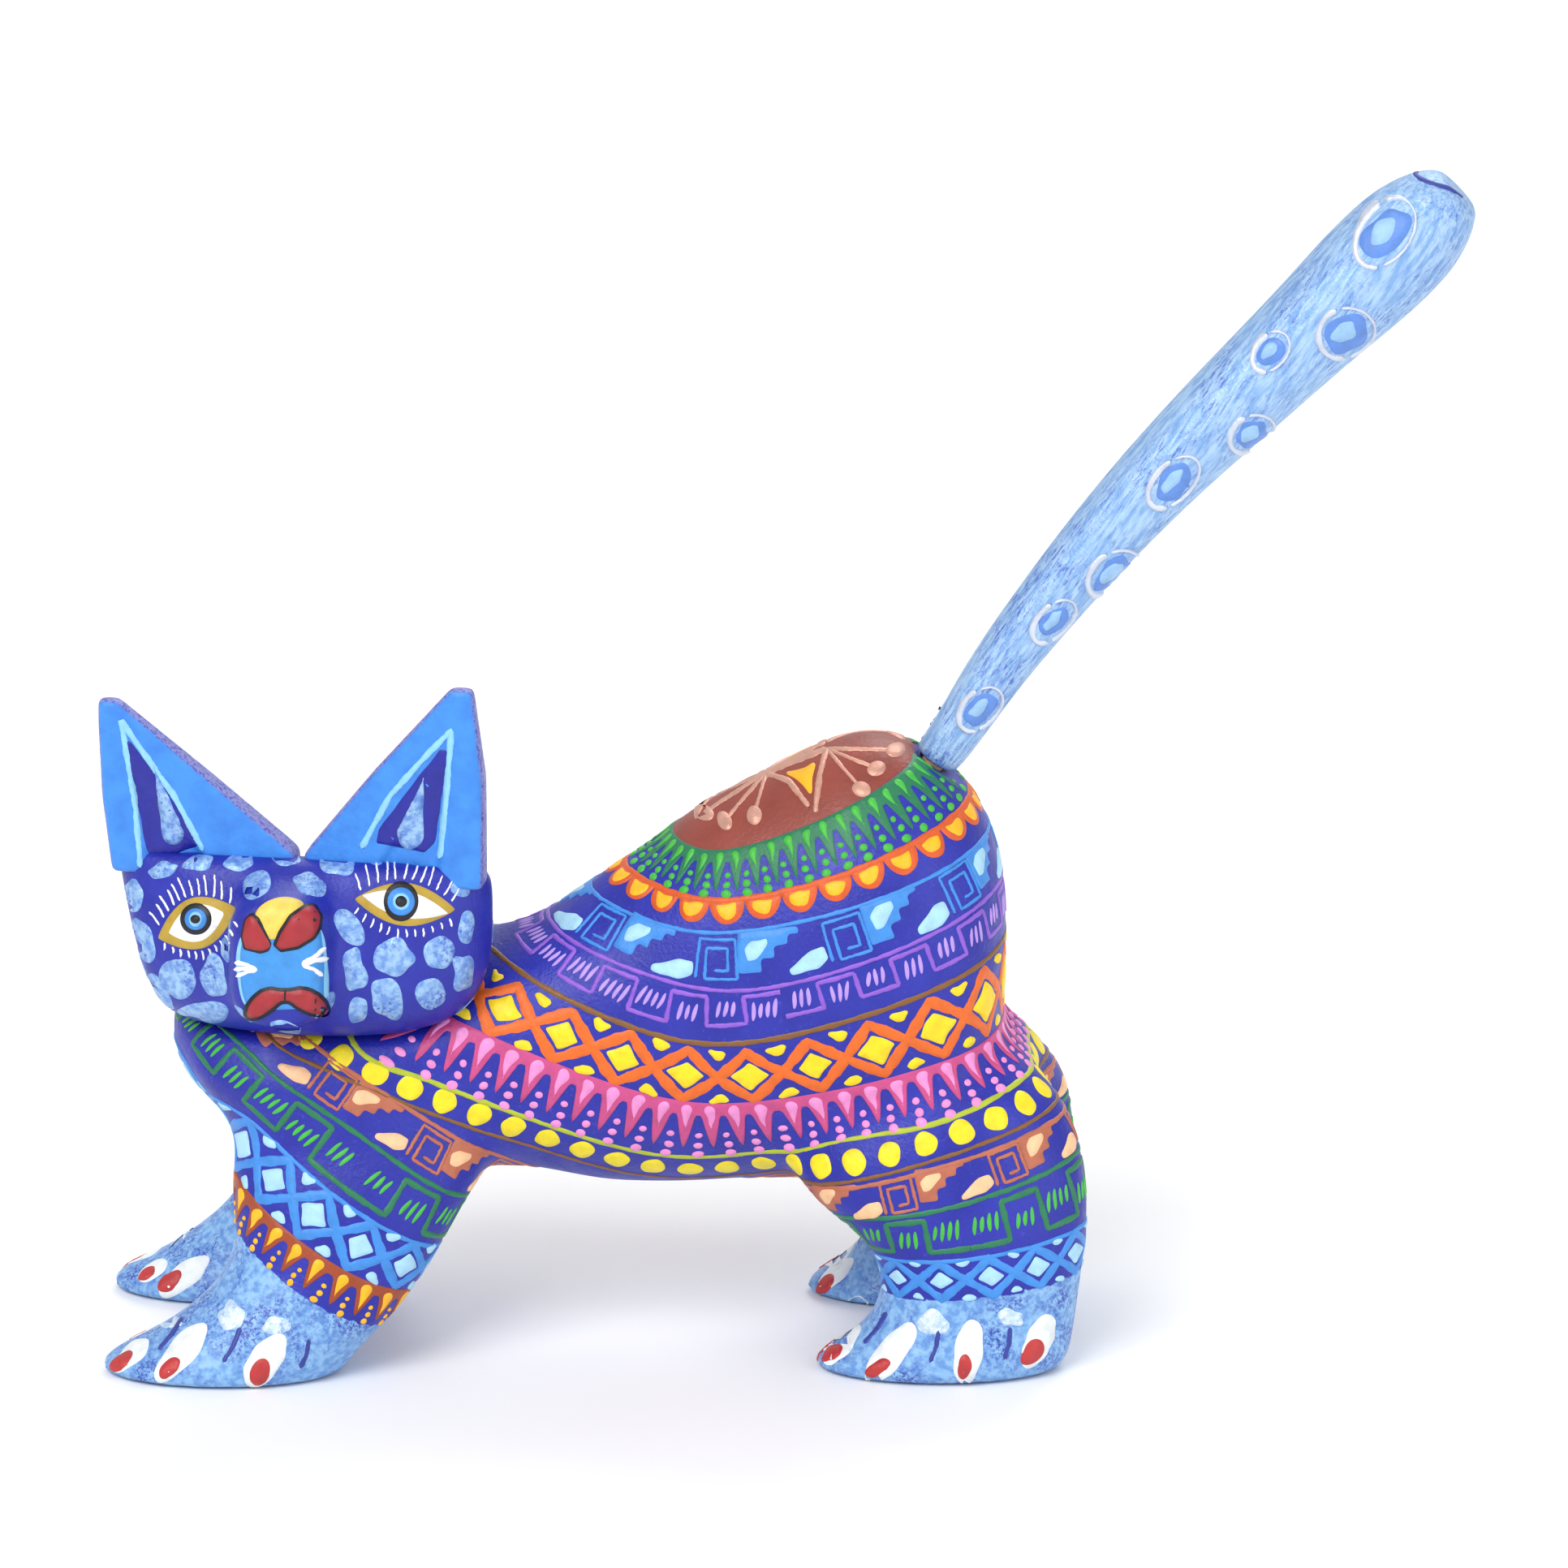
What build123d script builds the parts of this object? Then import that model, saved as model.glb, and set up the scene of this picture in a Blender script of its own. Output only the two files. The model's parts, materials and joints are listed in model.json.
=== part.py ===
"""A carved and painted wooden cat, stretching with its rump and tail up.

Millimetres, +Z up.  The chest and front paws are towards -X, the tail towards +X, and the
face looks towards -Y.  The origin is on the ground, under the middle of the figure's box.
"""

import os
from math import atan2, cos, degrees, radians, sin

from build123d import *

os.makedirs("parts", exist_ok=True)

# Torso sections across X: (x, centre height, half height, half width).
TORSO = [
    (-107.2, 58.0, 5.0, 5.0),
    (-102.0, 57.5, 12.5, 13.0),
    (-92.5, 56.0, 20.0, 18.5),
    (-79.0, 53.0, 24.5, 21.0),
    (-64.0, 52.0, 22.5, 20.5),
    (-49.0, 52.5, 21.0, 20.0),
    (-36.0, 54.8, 25.5, 20.5),
    (-23.0, 58.6, 30.5, 21.5),
    (-10.5, 63.5, 35.0, 23.5),
    (2.0, 67.0, 38.0, 25.5),
    (15.0, 70.0, 39.6, 26.5),
    (24.0, 70.5, 37.0, 25.5),
    (31.5, 70.0, 31.0, 22.5),
    (36.2, 70.5, 22.0, 17.0),
    (38.3, 71.5, 10.0, 8.0),
]

# Leg sections across Z: (z, centre x, half length, distance from the midline, half width).
FRONT_LEG = [
    (0.0, -98.3, 20.8, 22.5, 11.0),
    (1.5, -98.0, 21.5, 22.5, 12.0),
    (4.5, -94.5, 20.5, 22.3, 12.2),
    (12.5, -84.5, 18.0, 21.0, 11.5),
    (20.0, -79.0, 17.8, 19.0, 11.5),
    (27.0, -76.7, 19.5, 17.5, 12.0),
    (35.0, -74.5, 22.0, 15.0, 12.5),
    (44.0, -76.0, 21.5, 12.0, 12.0),
    (54.0, -78.0, 17.0, 8.0, 10.0),
]
REAR_LEG = [
    (0.0, 27.0, 21.2, 20.5, 11.0),
    (1.5, 27.6, 21.8, 20.5, 12.0),
    (4.5, 30.2, 20.3, 20.3, 12.2),
    (12.5, 34.3, 17.5, 19.5, 11.5),
    (20.0, 34.5, 18.2, 19.0, 11.5),
    (27.0, 31.5, 21.8, 18.5, 12.0),
    (35.0, 27.5, 25.5, 17.0, 12.5),
    (43.0, 28.5, 22.5, 14.5, 13.0),
    (51.0, 26.5, 18.0, 11.5, 12.5),
    (59.0, 22.0, 12.5, 8.0, 9.5),
]
# The hind leg on the far side stands a little further forwards.
FAR_REAR_STEP = -1.5

# The haunch joins the two thighs behind the rump.
HAUNCH_X, HAUNCH_Z, HAUNCH_LONG, HAUNCH_TALL, HAUNCH_SPAN = 28.0, 47.0, 17.0, 11.0, 15.0

# The head is set into the front of the shoulders and turned a little towards the chest.
HEAD_X, HEAD_Y, HEAD_TURN = -83.7, -11.0, 10.0
HEAD = Plane(
    origin=(HEAD_X, HEAD_Y, 0),
    x_dir=(cos(radians(HEAD_TURN)), -sin(radians(HEAD_TURN)), 0),
    z_dir=(0, 0, 1),
)
# Head sections across Z: (z, half width, distance of the centre behind the head axis, half depth).
SKULL = [
    (60.0, 17.0, 1.0, 8.0),
    (62.5, 25.5, 0.5, 12.0),
    (68.0, 31.0, 0.0, 15.5),
    (77.0, 33.2, 0.0, 16.0),
    (86.0, 33.4, 0.0, 13.5),
    (92.5, 33.2, -3.0, 6.5),
]
MUZZLE_X, MUZZLE_BASE_Z, MUZZLE_BASE_WIDE, MUZZLE_BASE_TALL = -0.6, 77.0, 24.0, 28.0
MUZZLE_Z, MUZZLE_WIDE, MUZZLE_TALL, MUZZLE_OUT = 77.5, 15.5, 22.5, 23.3

# Ears: (z, outer edge, inner edge, front, back), measured from the head axis.
# The cat's own right ear is the one towards -X.
RIGHT_EAR = [
    (92.5, -33.0, 0.2, 7.0, 0.5),
    (106.0, -34.6, -15.8, 7.0, 1.5),
    (119.0, -35.2, -31.5, 6.5, 3.0),
]
LEFT_EAR = [
    (92.5, 33.0, 1.0, 7.0, 0.5),
    (108.0, 33.2, 13.4, 7.0, 1.5),
    (124.0, 31.4, 27.4, 6.5, 3.0),
]
RIGHT_HOLLOW = [(-31.0, 113.0), (-26.5, 92.5), (-13.0, 92.5)]
LEFT_HOLLOW = [(27.5, 117.0), (12.5, 92.5), (25.5, 92.5)]
HOLLOW_DEPTH, EAR_ROUND = 1.2, 1.4
EAR_PEG_R, EAR_PEG_LONG, EAR_PEG_X, EAR_PEG_BACK = 1.5, 12.0, 22.0, -3.6

NECK_PEG_R, NECK_PEG_IN, NECK_PEG_OUT, NECK_PEG_Z = 4.0, 14.0, 10.0, 70.0
NECK_PEG_SEAT = 15.0

# Tail, seen from the side: straight over its dowel, then an even bend, then straight to the tip.
SEAT_X, SEAT_Z = 26.2, 104.4
DOWEL_ACROSS, DOWEL_RISE = 7.1, 10.8
TAIL_STRAIGHT, TAIL_BEND_R, TAIL_END_LEAN, TAIL_END_LONG = 12.9, 330.0, 45.0, 60.0
# It thickens evenly from the seat up to its shoulder, and is rounded off beyond it.
TAIL_THIN, TAIL_THICK, TAIL_SHOULDER, TAIL_TIP = 4.2, 9.9, 122.0, 18.0
SHAFT_STEPS, TIP_STEPS, TIP_TURN = 7, 4, 61.0
TAIL_TOP_Z = 210.8
SEAT_GAP, SEAT_R, SEAT_CLEAR = 0.2, 4.8, 8.0
TAIL_PEG_R, SOCKET_R, SOCKET_SPARE = 2.0, 2.05, 0.5
PEG_IN_BODY, PEG_IN_TAIL = 14.0, 12.0

tail_dir = Vector(DOWEL_ACROSS, 0, DOWEL_RISE).normalized()
tail_lean = degrees(atan2(DOWEL_ACROSS, DOWEL_RISE))
seat = Plane(origin=(SEAT_X, 0, SEAT_Z), x_dir=(0, 1, 0), z_dir=tail_dir)

# The tail's centreline, drawn flat with its height along y.
with BuildLine() as tail_line:
    over_dowel = PolarLine((SEAT_X, SEAT_Z), TAIL_STRAIGHT, 90 - tail_lean)
    bend = JernArc(over_dowel @ 1, over_dowel % 1, TAIL_BEND_R, tail_lean - TAIL_END_LEAN)
    PolarLine(bend @ 1, TAIL_END_LONG, 90 - TAIL_END_LEAN)
centreline = tail_line.wire()


def lofted_leg(sections, side, step=0.0):
    """A leg and its wedge-shaped paw, from the sole up into the torso."""
    profiles = []
    for z, x, half_length, out, half_width in sections:
        with BuildSketch(Plane.XY.offset(z)) as section:
            with Locations((x + step, side * out)):
                Ellipse(half_length, half_width)
        profiles.append(section.sketch)
    loft(profiles)


def tail_sections():
    """The distance from the seat and the radius of each section of the tail."""
    sections = []
    for i in range(SHAFT_STEPS + 1):
        run = SEAT_GAP + (TAIL_SHOULDER - SEAT_GAP) * i / SHAFT_STEPS
        sections.append((run, TAIL_THIN + (TAIL_THICK - TAIL_THIN) * run / TAIL_SHOULDER))
    for i in range(1, TIP_STEPS + 1):
        turn = radians(TIP_TURN * i / TIP_STEPS)
        sections.append((TAIL_SHOULDER + TAIL_TIP * sin(turn), TAIL_THICK * cos(turn)))
    return sections


def face_plane(out):
    """The upright plane a given distance in front of the head axis, with x across and y up."""
    return Plane(origin=HEAD.from_local_coords((0, -out, 0)), x_dir=HEAD.x_dir, z_dir=-HEAD.y_dir)


with BuildPart() as skull:
    for z, half_width, back, half_depth in SKULL:
        with BuildSketch(HEAD.offset(z)):
            with Locations((0, back)):
                Ellipse(half_width, half_depth)
    loft()
    with BuildSketch(face_plane(0)):
        with Locations((MUZZLE_X, MUZZLE_BASE_Z)):
            RectangleRounded(MUZZLE_BASE_WIDE, MUZZLE_BASE_TALL, 9)
    with BuildSketch(face_plane(MUZZLE_OUT)):
        with Locations((MUZZLE_X, MUZZLE_Z)):
            RectangleRounded(MUZZLE_WIDE, MUZZLE_TALL, 6)
    loft()
    fillet(skull.faces().sort_by(Axis(HEAD.origin, -HEAD.y_dir))[-1].edges(), 2.5)

with BuildPart() as body:
    for x, z, half_height, half_width in TORSO:
        with BuildSketch(Plane.YZ.offset(x)):
            with Locations((0, z)):
                Ellipse(half_width, half_height)
    loft()
    with BuildSketch(Plane.XZ):
        with Locations((HAUNCH_X, HAUNCH_Z)):
            Ellipse(HAUNCH_LONG, HAUNCH_TALL)
    extrude(amount=HAUNCH_SPAN, both=True)
    for side in (-1, 1):
        rear_step = FAR_REAR_STEP if side > 0 else 0.0
        lofted_leg(FRONT_LEG, side)
        lofted_leg(REAR_LEG, side, rear_step)
    split(bisect_by=Plane.XY)
    # The saddle that the head is set into.
    add(skull.part, mode=Mode.SUBTRACT)
    # The neck dowel's hole, the tail's flat seat and the tail dowel's hole.
    with BuildSketch(face_plane(-NECK_PEG_SEAT - NECK_PEG_IN)):
        with Locations((0, NECK_PEG_Z)):
            Circle(NECK_PEG_R)
    extrude(amount=NECK_PEG_IN + NECK_PEG_OUT, mode=Mode.SUBTRACT)
    with BuildSketch(seat):
        Circle(SEAT_R)
    extrude(amount=SEAT_CLEAR, mode=Mode.SUBTRACT)
    with BuildSketch(seat):
        Circle(SOCKET_R)
    extrude(amount=-(PEG_IN_BODY + SOCKET_SPARE), mode=Mode.SUBTRACT)

with BuildPart() as head:
    add(skull.part)
    with BuildSketch(face_plane(-NECK_PEG_SEAT - NECK_PEG_IN)):
        with Locations((0, NECK_PEG_Z)):
            Circle(NECK_PEG_R)
    extrude(amount=NECK_PEG_IN + NECK_PEG_OUT, mode=Mode.SUBTRACT)
    for side in (-1, 1):
        with BuildSketch(HEAD.offset(SKULL[-1][0] - EAR_PEG_LONG / 2)):
            with Locations((side * EAR_PEG_X, EAR_PEG_BACK)):
                Circle(EAR_PEG_R)
        extrude(amount=EAR_PEG_LONG, mode=Mode.SUBTRACT)

with BuildPart() as neck_dowel:
    with BuildSketch(face_plane(-NECK_PEG_SEAT - NECK_PEG_IN)):
        with Locations((0, NECK_PEG_Z)):
            Circle(NECK_PEG_R)
    extrude(amount=NECK_PEG_IN + NECK_PEG_OUT)


def ear(sections, hollow, side):
    """One ear: a thick board that narrows to its tip, with a carved hollow and a dowel hole."""
    with BuildPart() as made:
        for z, outer, inner, front, back in sections:
            with BuildSketch(HEAD.offset(z)):
                with Locations(((outer + inner) / 2, -(front + back) / 2)):
                    RectangleRounded(abs(outer - inner), front - back, EAR_ROUND)
        loft(ruled=True)
        with BuildSketch(face_plane(sections[0][3] - HOLLOW_DEPTH)):
            Polygon(*hollow, align=None)
        extrude(amount=HOLLOW_DEPTH + 1, mode=Mode.SUBTRACT)
        with BuildSketch(HEAD.offset(SKULL[-1][0])):
            with Locations((side * EAR_PEG_X, EAR_PEG_BACK)):
                Circle(EAR_PEG_R)
        extrude(amount=EAR_PEG_LONG / 2, mode=Mode.SUBTRACT)
    return made


right_ear = ear(RIGHT_EAR, RIGHT_HOLLOW, -1)
left_ear = ear(LEFT_EAR, LEFT_HOLLOW, 1)

with BuildPart() as ear_dowels:
    for side in (-1, 1):
        with BuildSketch(HEAD.offset(SKULL[-1][0] - EAR_PEG_LONG / 2)):
            with Locations((side * EAR_PEG_X, EAR_PEG_BACK)):
                Circle(EAR_PEG_R)
        extrude(amount=EAR_PEG_LONG)

with BuildPart() as tail:
    for run, radius in tail_sections():
        spot = centreline.position_at(run, position_mode=PositionMode.LENGTH)
        along = centreline.tangent_at(run, position_mode=PositionMode.LENGTH)
        upright = Plane(origin=(spot.X, 0, spot.Y), x_dir=(0, 1, 0), z_dir=(along.X, 0, along.Y))
        with BuildSketch(upright):
            Circle(radius)
    loft()
    split(bisect_by=Plane.XY.offset(TAIL_TOP_Z), keep=Keep.BOTTOM)
    with BuildSketch(seat):
        Circle(SOCKET_R)
    extrude(amount=PEG_IN_TAIL + SOCKET_SPARE, mode=Mode.SUBTRACT)

with BuildPart() as tail_dowel:
    with BuildSketch(seat.offset(-PEG_IN_BODY)):
        Circle(TAIL_PEG_R)
    extrude(amount=PEG_IN_BODY + PEG_IN_TAIL)
    chamfer(tail_dowel.edges(), 0.4)

pieces = {
    "body": body,
    "head": head,
    "left_ear": left_ear,
    "right_ear": right_ear,
    "neck_dowel": neck_dowel,
    "ear_dowels": ear_dowels,
    "tail": tail,
    "tail_dowel": tail_dowel,
}
whole = None
for name, piece in pieces.items():
    piece.part.label = name
    export_step(piece.part, f"parts/{name}.step")
    box = piece.part.bounding_box()
    whole = box if whole is None else whole.add(box)
    print(name, piece.part.is_valid, len(piece.part.solids()), round(piece.part.volume))
print("box", whole.min, whole.max, whole.center())
print("tail axis", tail_dir, "seat", seat.origin)
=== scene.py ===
"""Looks of a carved and painted wooden cat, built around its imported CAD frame.

Lengths in this script are millimetres until a mesh is made.  Each carved piece is a smoothed
copy of its CAD node, and the painted decoration is thin raised strokes laid on its surface.
"""

import json
import math

import bpy
import numpy as np
import openvdb
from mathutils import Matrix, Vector, geometry


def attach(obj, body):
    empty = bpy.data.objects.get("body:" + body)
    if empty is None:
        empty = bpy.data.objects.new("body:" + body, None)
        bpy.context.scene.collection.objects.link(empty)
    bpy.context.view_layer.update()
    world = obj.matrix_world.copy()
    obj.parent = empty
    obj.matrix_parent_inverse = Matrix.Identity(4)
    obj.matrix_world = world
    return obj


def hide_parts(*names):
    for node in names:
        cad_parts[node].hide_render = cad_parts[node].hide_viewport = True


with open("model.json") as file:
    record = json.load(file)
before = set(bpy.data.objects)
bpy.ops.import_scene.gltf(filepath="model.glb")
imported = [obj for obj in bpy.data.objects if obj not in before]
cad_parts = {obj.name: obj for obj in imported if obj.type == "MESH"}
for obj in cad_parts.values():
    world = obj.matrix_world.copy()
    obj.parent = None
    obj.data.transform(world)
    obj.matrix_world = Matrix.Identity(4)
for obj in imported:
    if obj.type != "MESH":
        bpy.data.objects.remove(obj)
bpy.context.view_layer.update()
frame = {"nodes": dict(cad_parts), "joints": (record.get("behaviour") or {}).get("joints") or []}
rng = np.random.default_rng(7)

MM = 0.001
TAIL_TURN = next(joint for joint in frame["joints"] if joint["name"] == "tail_turn")
TAIL_SEAT = np.array(TAIL_TURN["pos_m"]) / MM
TAIL_AXIS = np.array(TAIL_TURN["axis"])
HEAD_TURN = math.radians(10.0)
HEAD_AXIS = np.array([-83.7, -11.0, 0.0])
HEAD_ACROSS = np.array([math.cos(HEAD_TURN), -math.sin(HEAD_TURN), 0.0])
HEAD_FORWARD = np.array([-math.sin(HEAD_TURN), -math.cos(HEAD_TURN), 0.0])
UP = np.array([0.0, 0.0, 1.0])


# ---------------------------------------------------------------- surfaces as distance grids


def unit(vectors):
    """Vectors scaled to length 1."""
    return vectors / np.maximum(np.linalg.norm(vectors, axis=-1, keepdims=True), 1e-9)


def smoothstep(x, low, high):
    """0 below low, 1 above high, and a smooth ramp between."""
    t = np.clip((x - low) / (high - low), 0, 1)
    return t * t * (3 - 2 * t)


def blur(values, sigma):
    """A Gaussian blur of a 3-D grid, sigma in cells."""
    reach = int(math.ceil(3 * sigma))
    taps = np.exp(-0.5 * (np.arange(-reach, reach + 1) / sigma) ** 2)
    taps /= taps.sum()
    for axis in range(3):
        pad = [(reach, reach) if i == axis else (0, 0) for i in range(3)]
        padded = np.pad(values, pad, mode="edge")
        count = values.shape[axis]
        shifted = (np.take(padded, range(i, i + count), axis) * tap for i, tap in enumerate(taps))
        values = sum(shifted).astype(np.float32)
    return values


def smooth_union(a, b, reach):
    """The lower of two distances, with a fillet where they are close."""
    h = np.clip(0.5 + 0.5 * (b - a) / reach, 0, 1)
    return b + (a - b) * h - reach * h * (1 - h)


class Field:
    """Signed distance to a closed surface, in millimetres, on a regular grid."""

    def __init__(self, node, cell, reach=7):
        mesh = frame["nodes"][node].data
        mesh.calc_loop_triangles()
        corners = np.empty(len(mesh.loop_triangles) * 3, np.int32)
        mesh.loop_triangles.foreach_get("vertices", corners)
        grid = openvdb.FloatGrid.createLevelSetFromPolygons(
            vertex_values(mesh, "co") / MM,
            triangles=corners.reshape(-1, 3).astype(np.uint32),
            transform=openvdb.createLinearTransform(voxelSize=cell),
            halfWidth=reach,
        )
        low, high = grid.evalActiveVoxelBoundingBox()
        low, high = np.array(low) - 2, np.array(high) + 3
        self.cell = cell
        self.low = low * cell
        self.values = np.zeros(tuple(high - low), np.float32)
        grid.copyToArray(self.values, ijk=tuple(int(i) for i in low))

    def places(self):
        """The x, y and z of the grid's cells, as arrays that broadcast."""
        axes = [self.low[i] + self.cell * np.arange(n) for i, n in enumerate(self.values.shape)]
        return np.meshgrid(*[a.astype(np.float32) for a in axes], indexing="ij", sparse=True)

    def sample(self, points):
        """Distance at each point, by trilinear interpolation."""
        spot = (points - self.low) / self.cell
        spot = np.clip(spot, 0, np.array(self.values.shape) - 1.001)
        base = spot.astype(int)
        part = spot - base
        total = 0.0
        for corner in range(8):
            step = [(corner >> i) & 1 for i in range(3)]
            weight = np.prod([part[..., i] if s else 1 - part[..., i] for i, s in enumerate(step)], 0)
            index = tuple(base[..., i] + s for i, s in enumerate(step))
            total = total + weight * self.values[index]
        return total

    def normal(self, points):
        """The outward unit normal of the surface near each point."""
        h = 0.8 * self.cell
        slopes = []
        for axis in range(3):
            step = np.zeros(3)
            step[axis] = h
            slopes.append(self.sample(points + step) - self.sample(points - step))
        return unit(np.stack(slopes, -1))

    def drop(self, points, height=0.0, rounds=4):
        """The points moved to stand a given height over the surface, and the normals there."""
        for _ in range(rounds):
            normals = self.normal(points)
            points = points - self.sample(points)[..., None] * normals
        normals = self.normal(points)
        return points + np.asarray(height)[..., None] * normals, normals

    def cast(self, points, direction, rounds=40):
        """Where rays from outside first meet the surface."""
        points = np.array(points, float)
        for _ in range(rounds):
            points = points + np.clip(self.sample(points), -2, 4)[..., None] * 0.9 * direction
        return points

    def mesh(self, name):
        """The surface as a smooth-shaded Blender object, in metres."""
        grid = openvdb.FloatGrid(float(self.values.max()))
        grid.copyFromArray(self.values)
        points, quads = grid.convertToQuads(isovalue=0.0)
        return new_mesh(name, self.low + points * self.cell, quads)


def link_new(name, data):
    """A new object of the scene."""
    made = bpy.data.objects.new(name, data)
    bpy.context.scene.collection.objects.link(made)
    return made


def vertex_values(mesh, what):
    """A vector of each vertex: its place, co, or its normal."""
    values = np.empty(len(mesh.vertices) * 3, np.float32)
    mesh.vertices.foreach_get(what, values)
    return values.reshape(-1, 3)


def mark_vertices(mesh, name, values):
    """A number kept at each vertex, for a material to read."""
    layer = mesh.attributes.new(name, "FLOAT", "POINT")
    layer.data.foreach_set("value", values.astype(np.float32))


def new_mesh(name, points, faces, smooth=True):
    """A Blender object from points in millimetres and lists of corner numbers."""
    mesh = bpy.data.meshes.new(name)
    faces = np.asarray(faces)
    mesh.vertices.add(len(points))
    mesh.vertices.foreach_set("co", (np.asarray(points, float) * MM).astype(np.float32).ravel())
    mesh.loops.add(faces.size)
    mesh.loops.foreach_set("vertex_index", faces.astype(np.int32).ravel())
    mesh.polygons.add(len(faces))
    mesh.polygons.foreach_set("loop_start", np.arange(0, faces.size, faces.shape[1], dtype=np.int32))
    mesh.polygons.foreach_set("use_smooth", np.full(len(faces), smooth))
    mesh.update(calc_edges=True)
    mesh.validate()
    return link_new(name, mesh)


def ripple(x, y, z, scale, seed):
    """A cheap smooth noise of about -1 to 1, for places that broadcast."""
    draw = np.random.default_rng(seed)
    total = 0.0
    for _ in range(6):
        wave = unit(draw.normal(size=3)) * (2 * math.pi / scale) * draw.uniform(0.6, 1.5)
        total = total + np.sin(wave[0] * x + wave[1] * y + wave[2] * z + draw.uniform(0, 6.3))
    return total / 3.0


# ---------------------------------------------------------------- carved pieces


SEAT_RADIUS, SOCKET_RADIUS, SOCKET_DEPTH = 4.8, 2.3, 15.0


def carve_body():
    """The body: creases between legs and trunk worked smooth, with the tail's socket cut."""
    field = Field("body", 0.9)
    x, y, z = field.places()
    fine = blur(field.values, 0.8)
    broad = blur(field.values, 3.2)
    # Blurring draws the outside in a little, so the broad copy is let out again.
    weight = smoothstep(z, 4.0, 16.0)
    field.values = fine * (1 - weight) + (broad - 0.35) * weight
    field.values += (0.16 * ripple(x, y, z, 26.0, 3)).astype(np.float32) * smoothstep(z, 2.0, 10.0)
    field.values = np.maximum(field.values, (0.02 - z) * np.ones_like(field.values))
    along, radius = seat_coordinates(x, y, z)
    seat = np.maximum(radius - SEAT_RADIUS, -along)
    socket = np.maximum(radius - SOCKET_RADIUS, -along - SOCKET_DEPTH)
    field.values = np.maximum(field.values, -np.minimum(seat, socket)).astype(np.float32)
    return field


def seat_coordinates(x, y, z):
    """Height along the tail's dowel from its seat, and distance from the dowel's axis."""
    dx, dz = x - TAIL_SEAT[0], z - TAIL_SEAT[2]
    along = dx * TAIL_AXIS[0] + dz * TAIL_AXIS[2]
    square = dx * dx + y * y + dz * dz - along * along
    return along, np.sqrt(np.maximum(square, 0))


# The right cheek's place and taper, and the crown's height and fall behind the ears' fronts.
# The scales turn the heights over the two slanted planes into distances.
CHEEK_OUT, CHEEK_TAPER, CHEEK_ROUND, CHEEK_SCALE = -34.8, 0.33, 3.5, 0.95
CROWN_Z, CROWN_FALL, CROWN_ROUND, CROWN_SCALE, EARS_FRONT = 92.5, 0.36, 1.5, 0.94, 6.0


def carve_head():
    """The head: a skull with a tapered right cheek and a crown that falls away behind the ears."""
    field = Field("head", 0.6)
    x, y, z = field.places()
    across = (x - HEAD_AXIS[0]) * HEAD_ACROSS[0] + (y - HEAD_AXIS[1]) * HEAD_ACROSS[1]
    front = (x - HEAD_AXIS[0]) * HEAD_FORWARD[0] + (y - HEAD_AXIS[1]) * HEAD_FORWARD[1]
    cheek = (CHEEK_OUT + CHEEK_TAPER * (CROWN_Z - z) - across) * CHEEK_SCALE
    crown = (z - CROWN_Z + CROWN_FALL * np.maximum(EARS_FRONT - front, 0)) * CROWN_SCALE
    values = -smooth_union(-field.values, -cheek, CHEEK_ROUND)
    values = -smooth_union(-values, -crown, CROWN_ROUND)
    field.values = (blur(values.astype(np.float32), 2.3) - 0.2).astype(np.float32)
    return field


def carve_simple(node, cell, softness, reach_down=0):
    """A node's shape with its edges worn a little round, let down into what it stands on."""
    field = Field(node, cell, 7 + reach_down)
    whole = field.values.copy()
    for step in range(1, reach_down + 1):
        field.values[:, :, :-step] = np.minimum(field.values[:, :, :-step], whole[:, :, step:])
    field.values = blur(field.values, softness) - 0.03
    return field


def cover_dowel(field, node, depth, fillet):
    """A little more wood over a dowel that comes close to a piece's surface."""
    pins = Field(node, 0.45, 16)
    spots = np.stack(np.broadcast_arrays(*field.places()), -1).reshape(-1, 3)
    inside = ((spots > pins.low) & (spots < pins.low + pins.cell * (np.array(pins.values.shape) - 1))).all(1)
    cover = np.full(len(spots), 8.0)
    cover[inside] = pins.sample(spots[inside]) - depth
    field.values = smooth_union(field.values, cover.reshape(field.values.shape), fillet).astype(np.float32)


body = carve_body()
head = carve_head()
left_ear = carve_simple("left_ear", 0.45, 1.2, 10)
right_ear = carve_simple("right_ear", 0.45, 1.2, 10)
for ear in (left_ear, right_ear):
    cover_dowel(ear, "ear_dowels", 0.45, 0.8)
cover_dowel(body, "neck_dowel", 1.6, 4.0)
tail = carve_simple("tail", 0.7, 1.2)


# ---------------------------------------------------------------- materials


def colour(red, green, blue):
    """A linear colour from 0 to 255 screen values."""
    screen = np.array([red, green, blue]) / 255
    linear = np.where(screen <= 0.04045, screen / 12.92, ((screen + 0.055) / 1.055) ** 2.4)
    return (*(float(c) for c in linear), 1.0)


def add_node(tree, kind, links=(), **values):
    """A shader node with its properties set, and its inputs given or linked."""
    node = tree.nodes.new(kind)
    for name, value in values.items():
        setattr(node, name, value)
    for key, value in links:
        if isinstance(value, bpy.types.NodeSocket):
            tree.links.new(value, node.inputs[key])
        else:
            node.inputs[key].default_value = value
    return node


def noise(tree, spot, scale, detail=3.0, rough=0.55):
    """A noise value; scale is in cells a metre."""
    made = add_node(tree, "ShaderNodeTexNoise", [("Vector", spot), ("Scale", scale), ("Detail", detail)])
    made.inputs["Roughness"].default_value = rough
    return made.outputs["Fac"]


def ramp(tree, value, low, high):
    """A value stretched so that low becomes 0 and high becomes 1."""
    made = add_node(tree, "ShaderNodeMapRange", [("Value", value), ("From Min", low), ("From Max", high)])
    return made.outputs["Result"]


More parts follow.
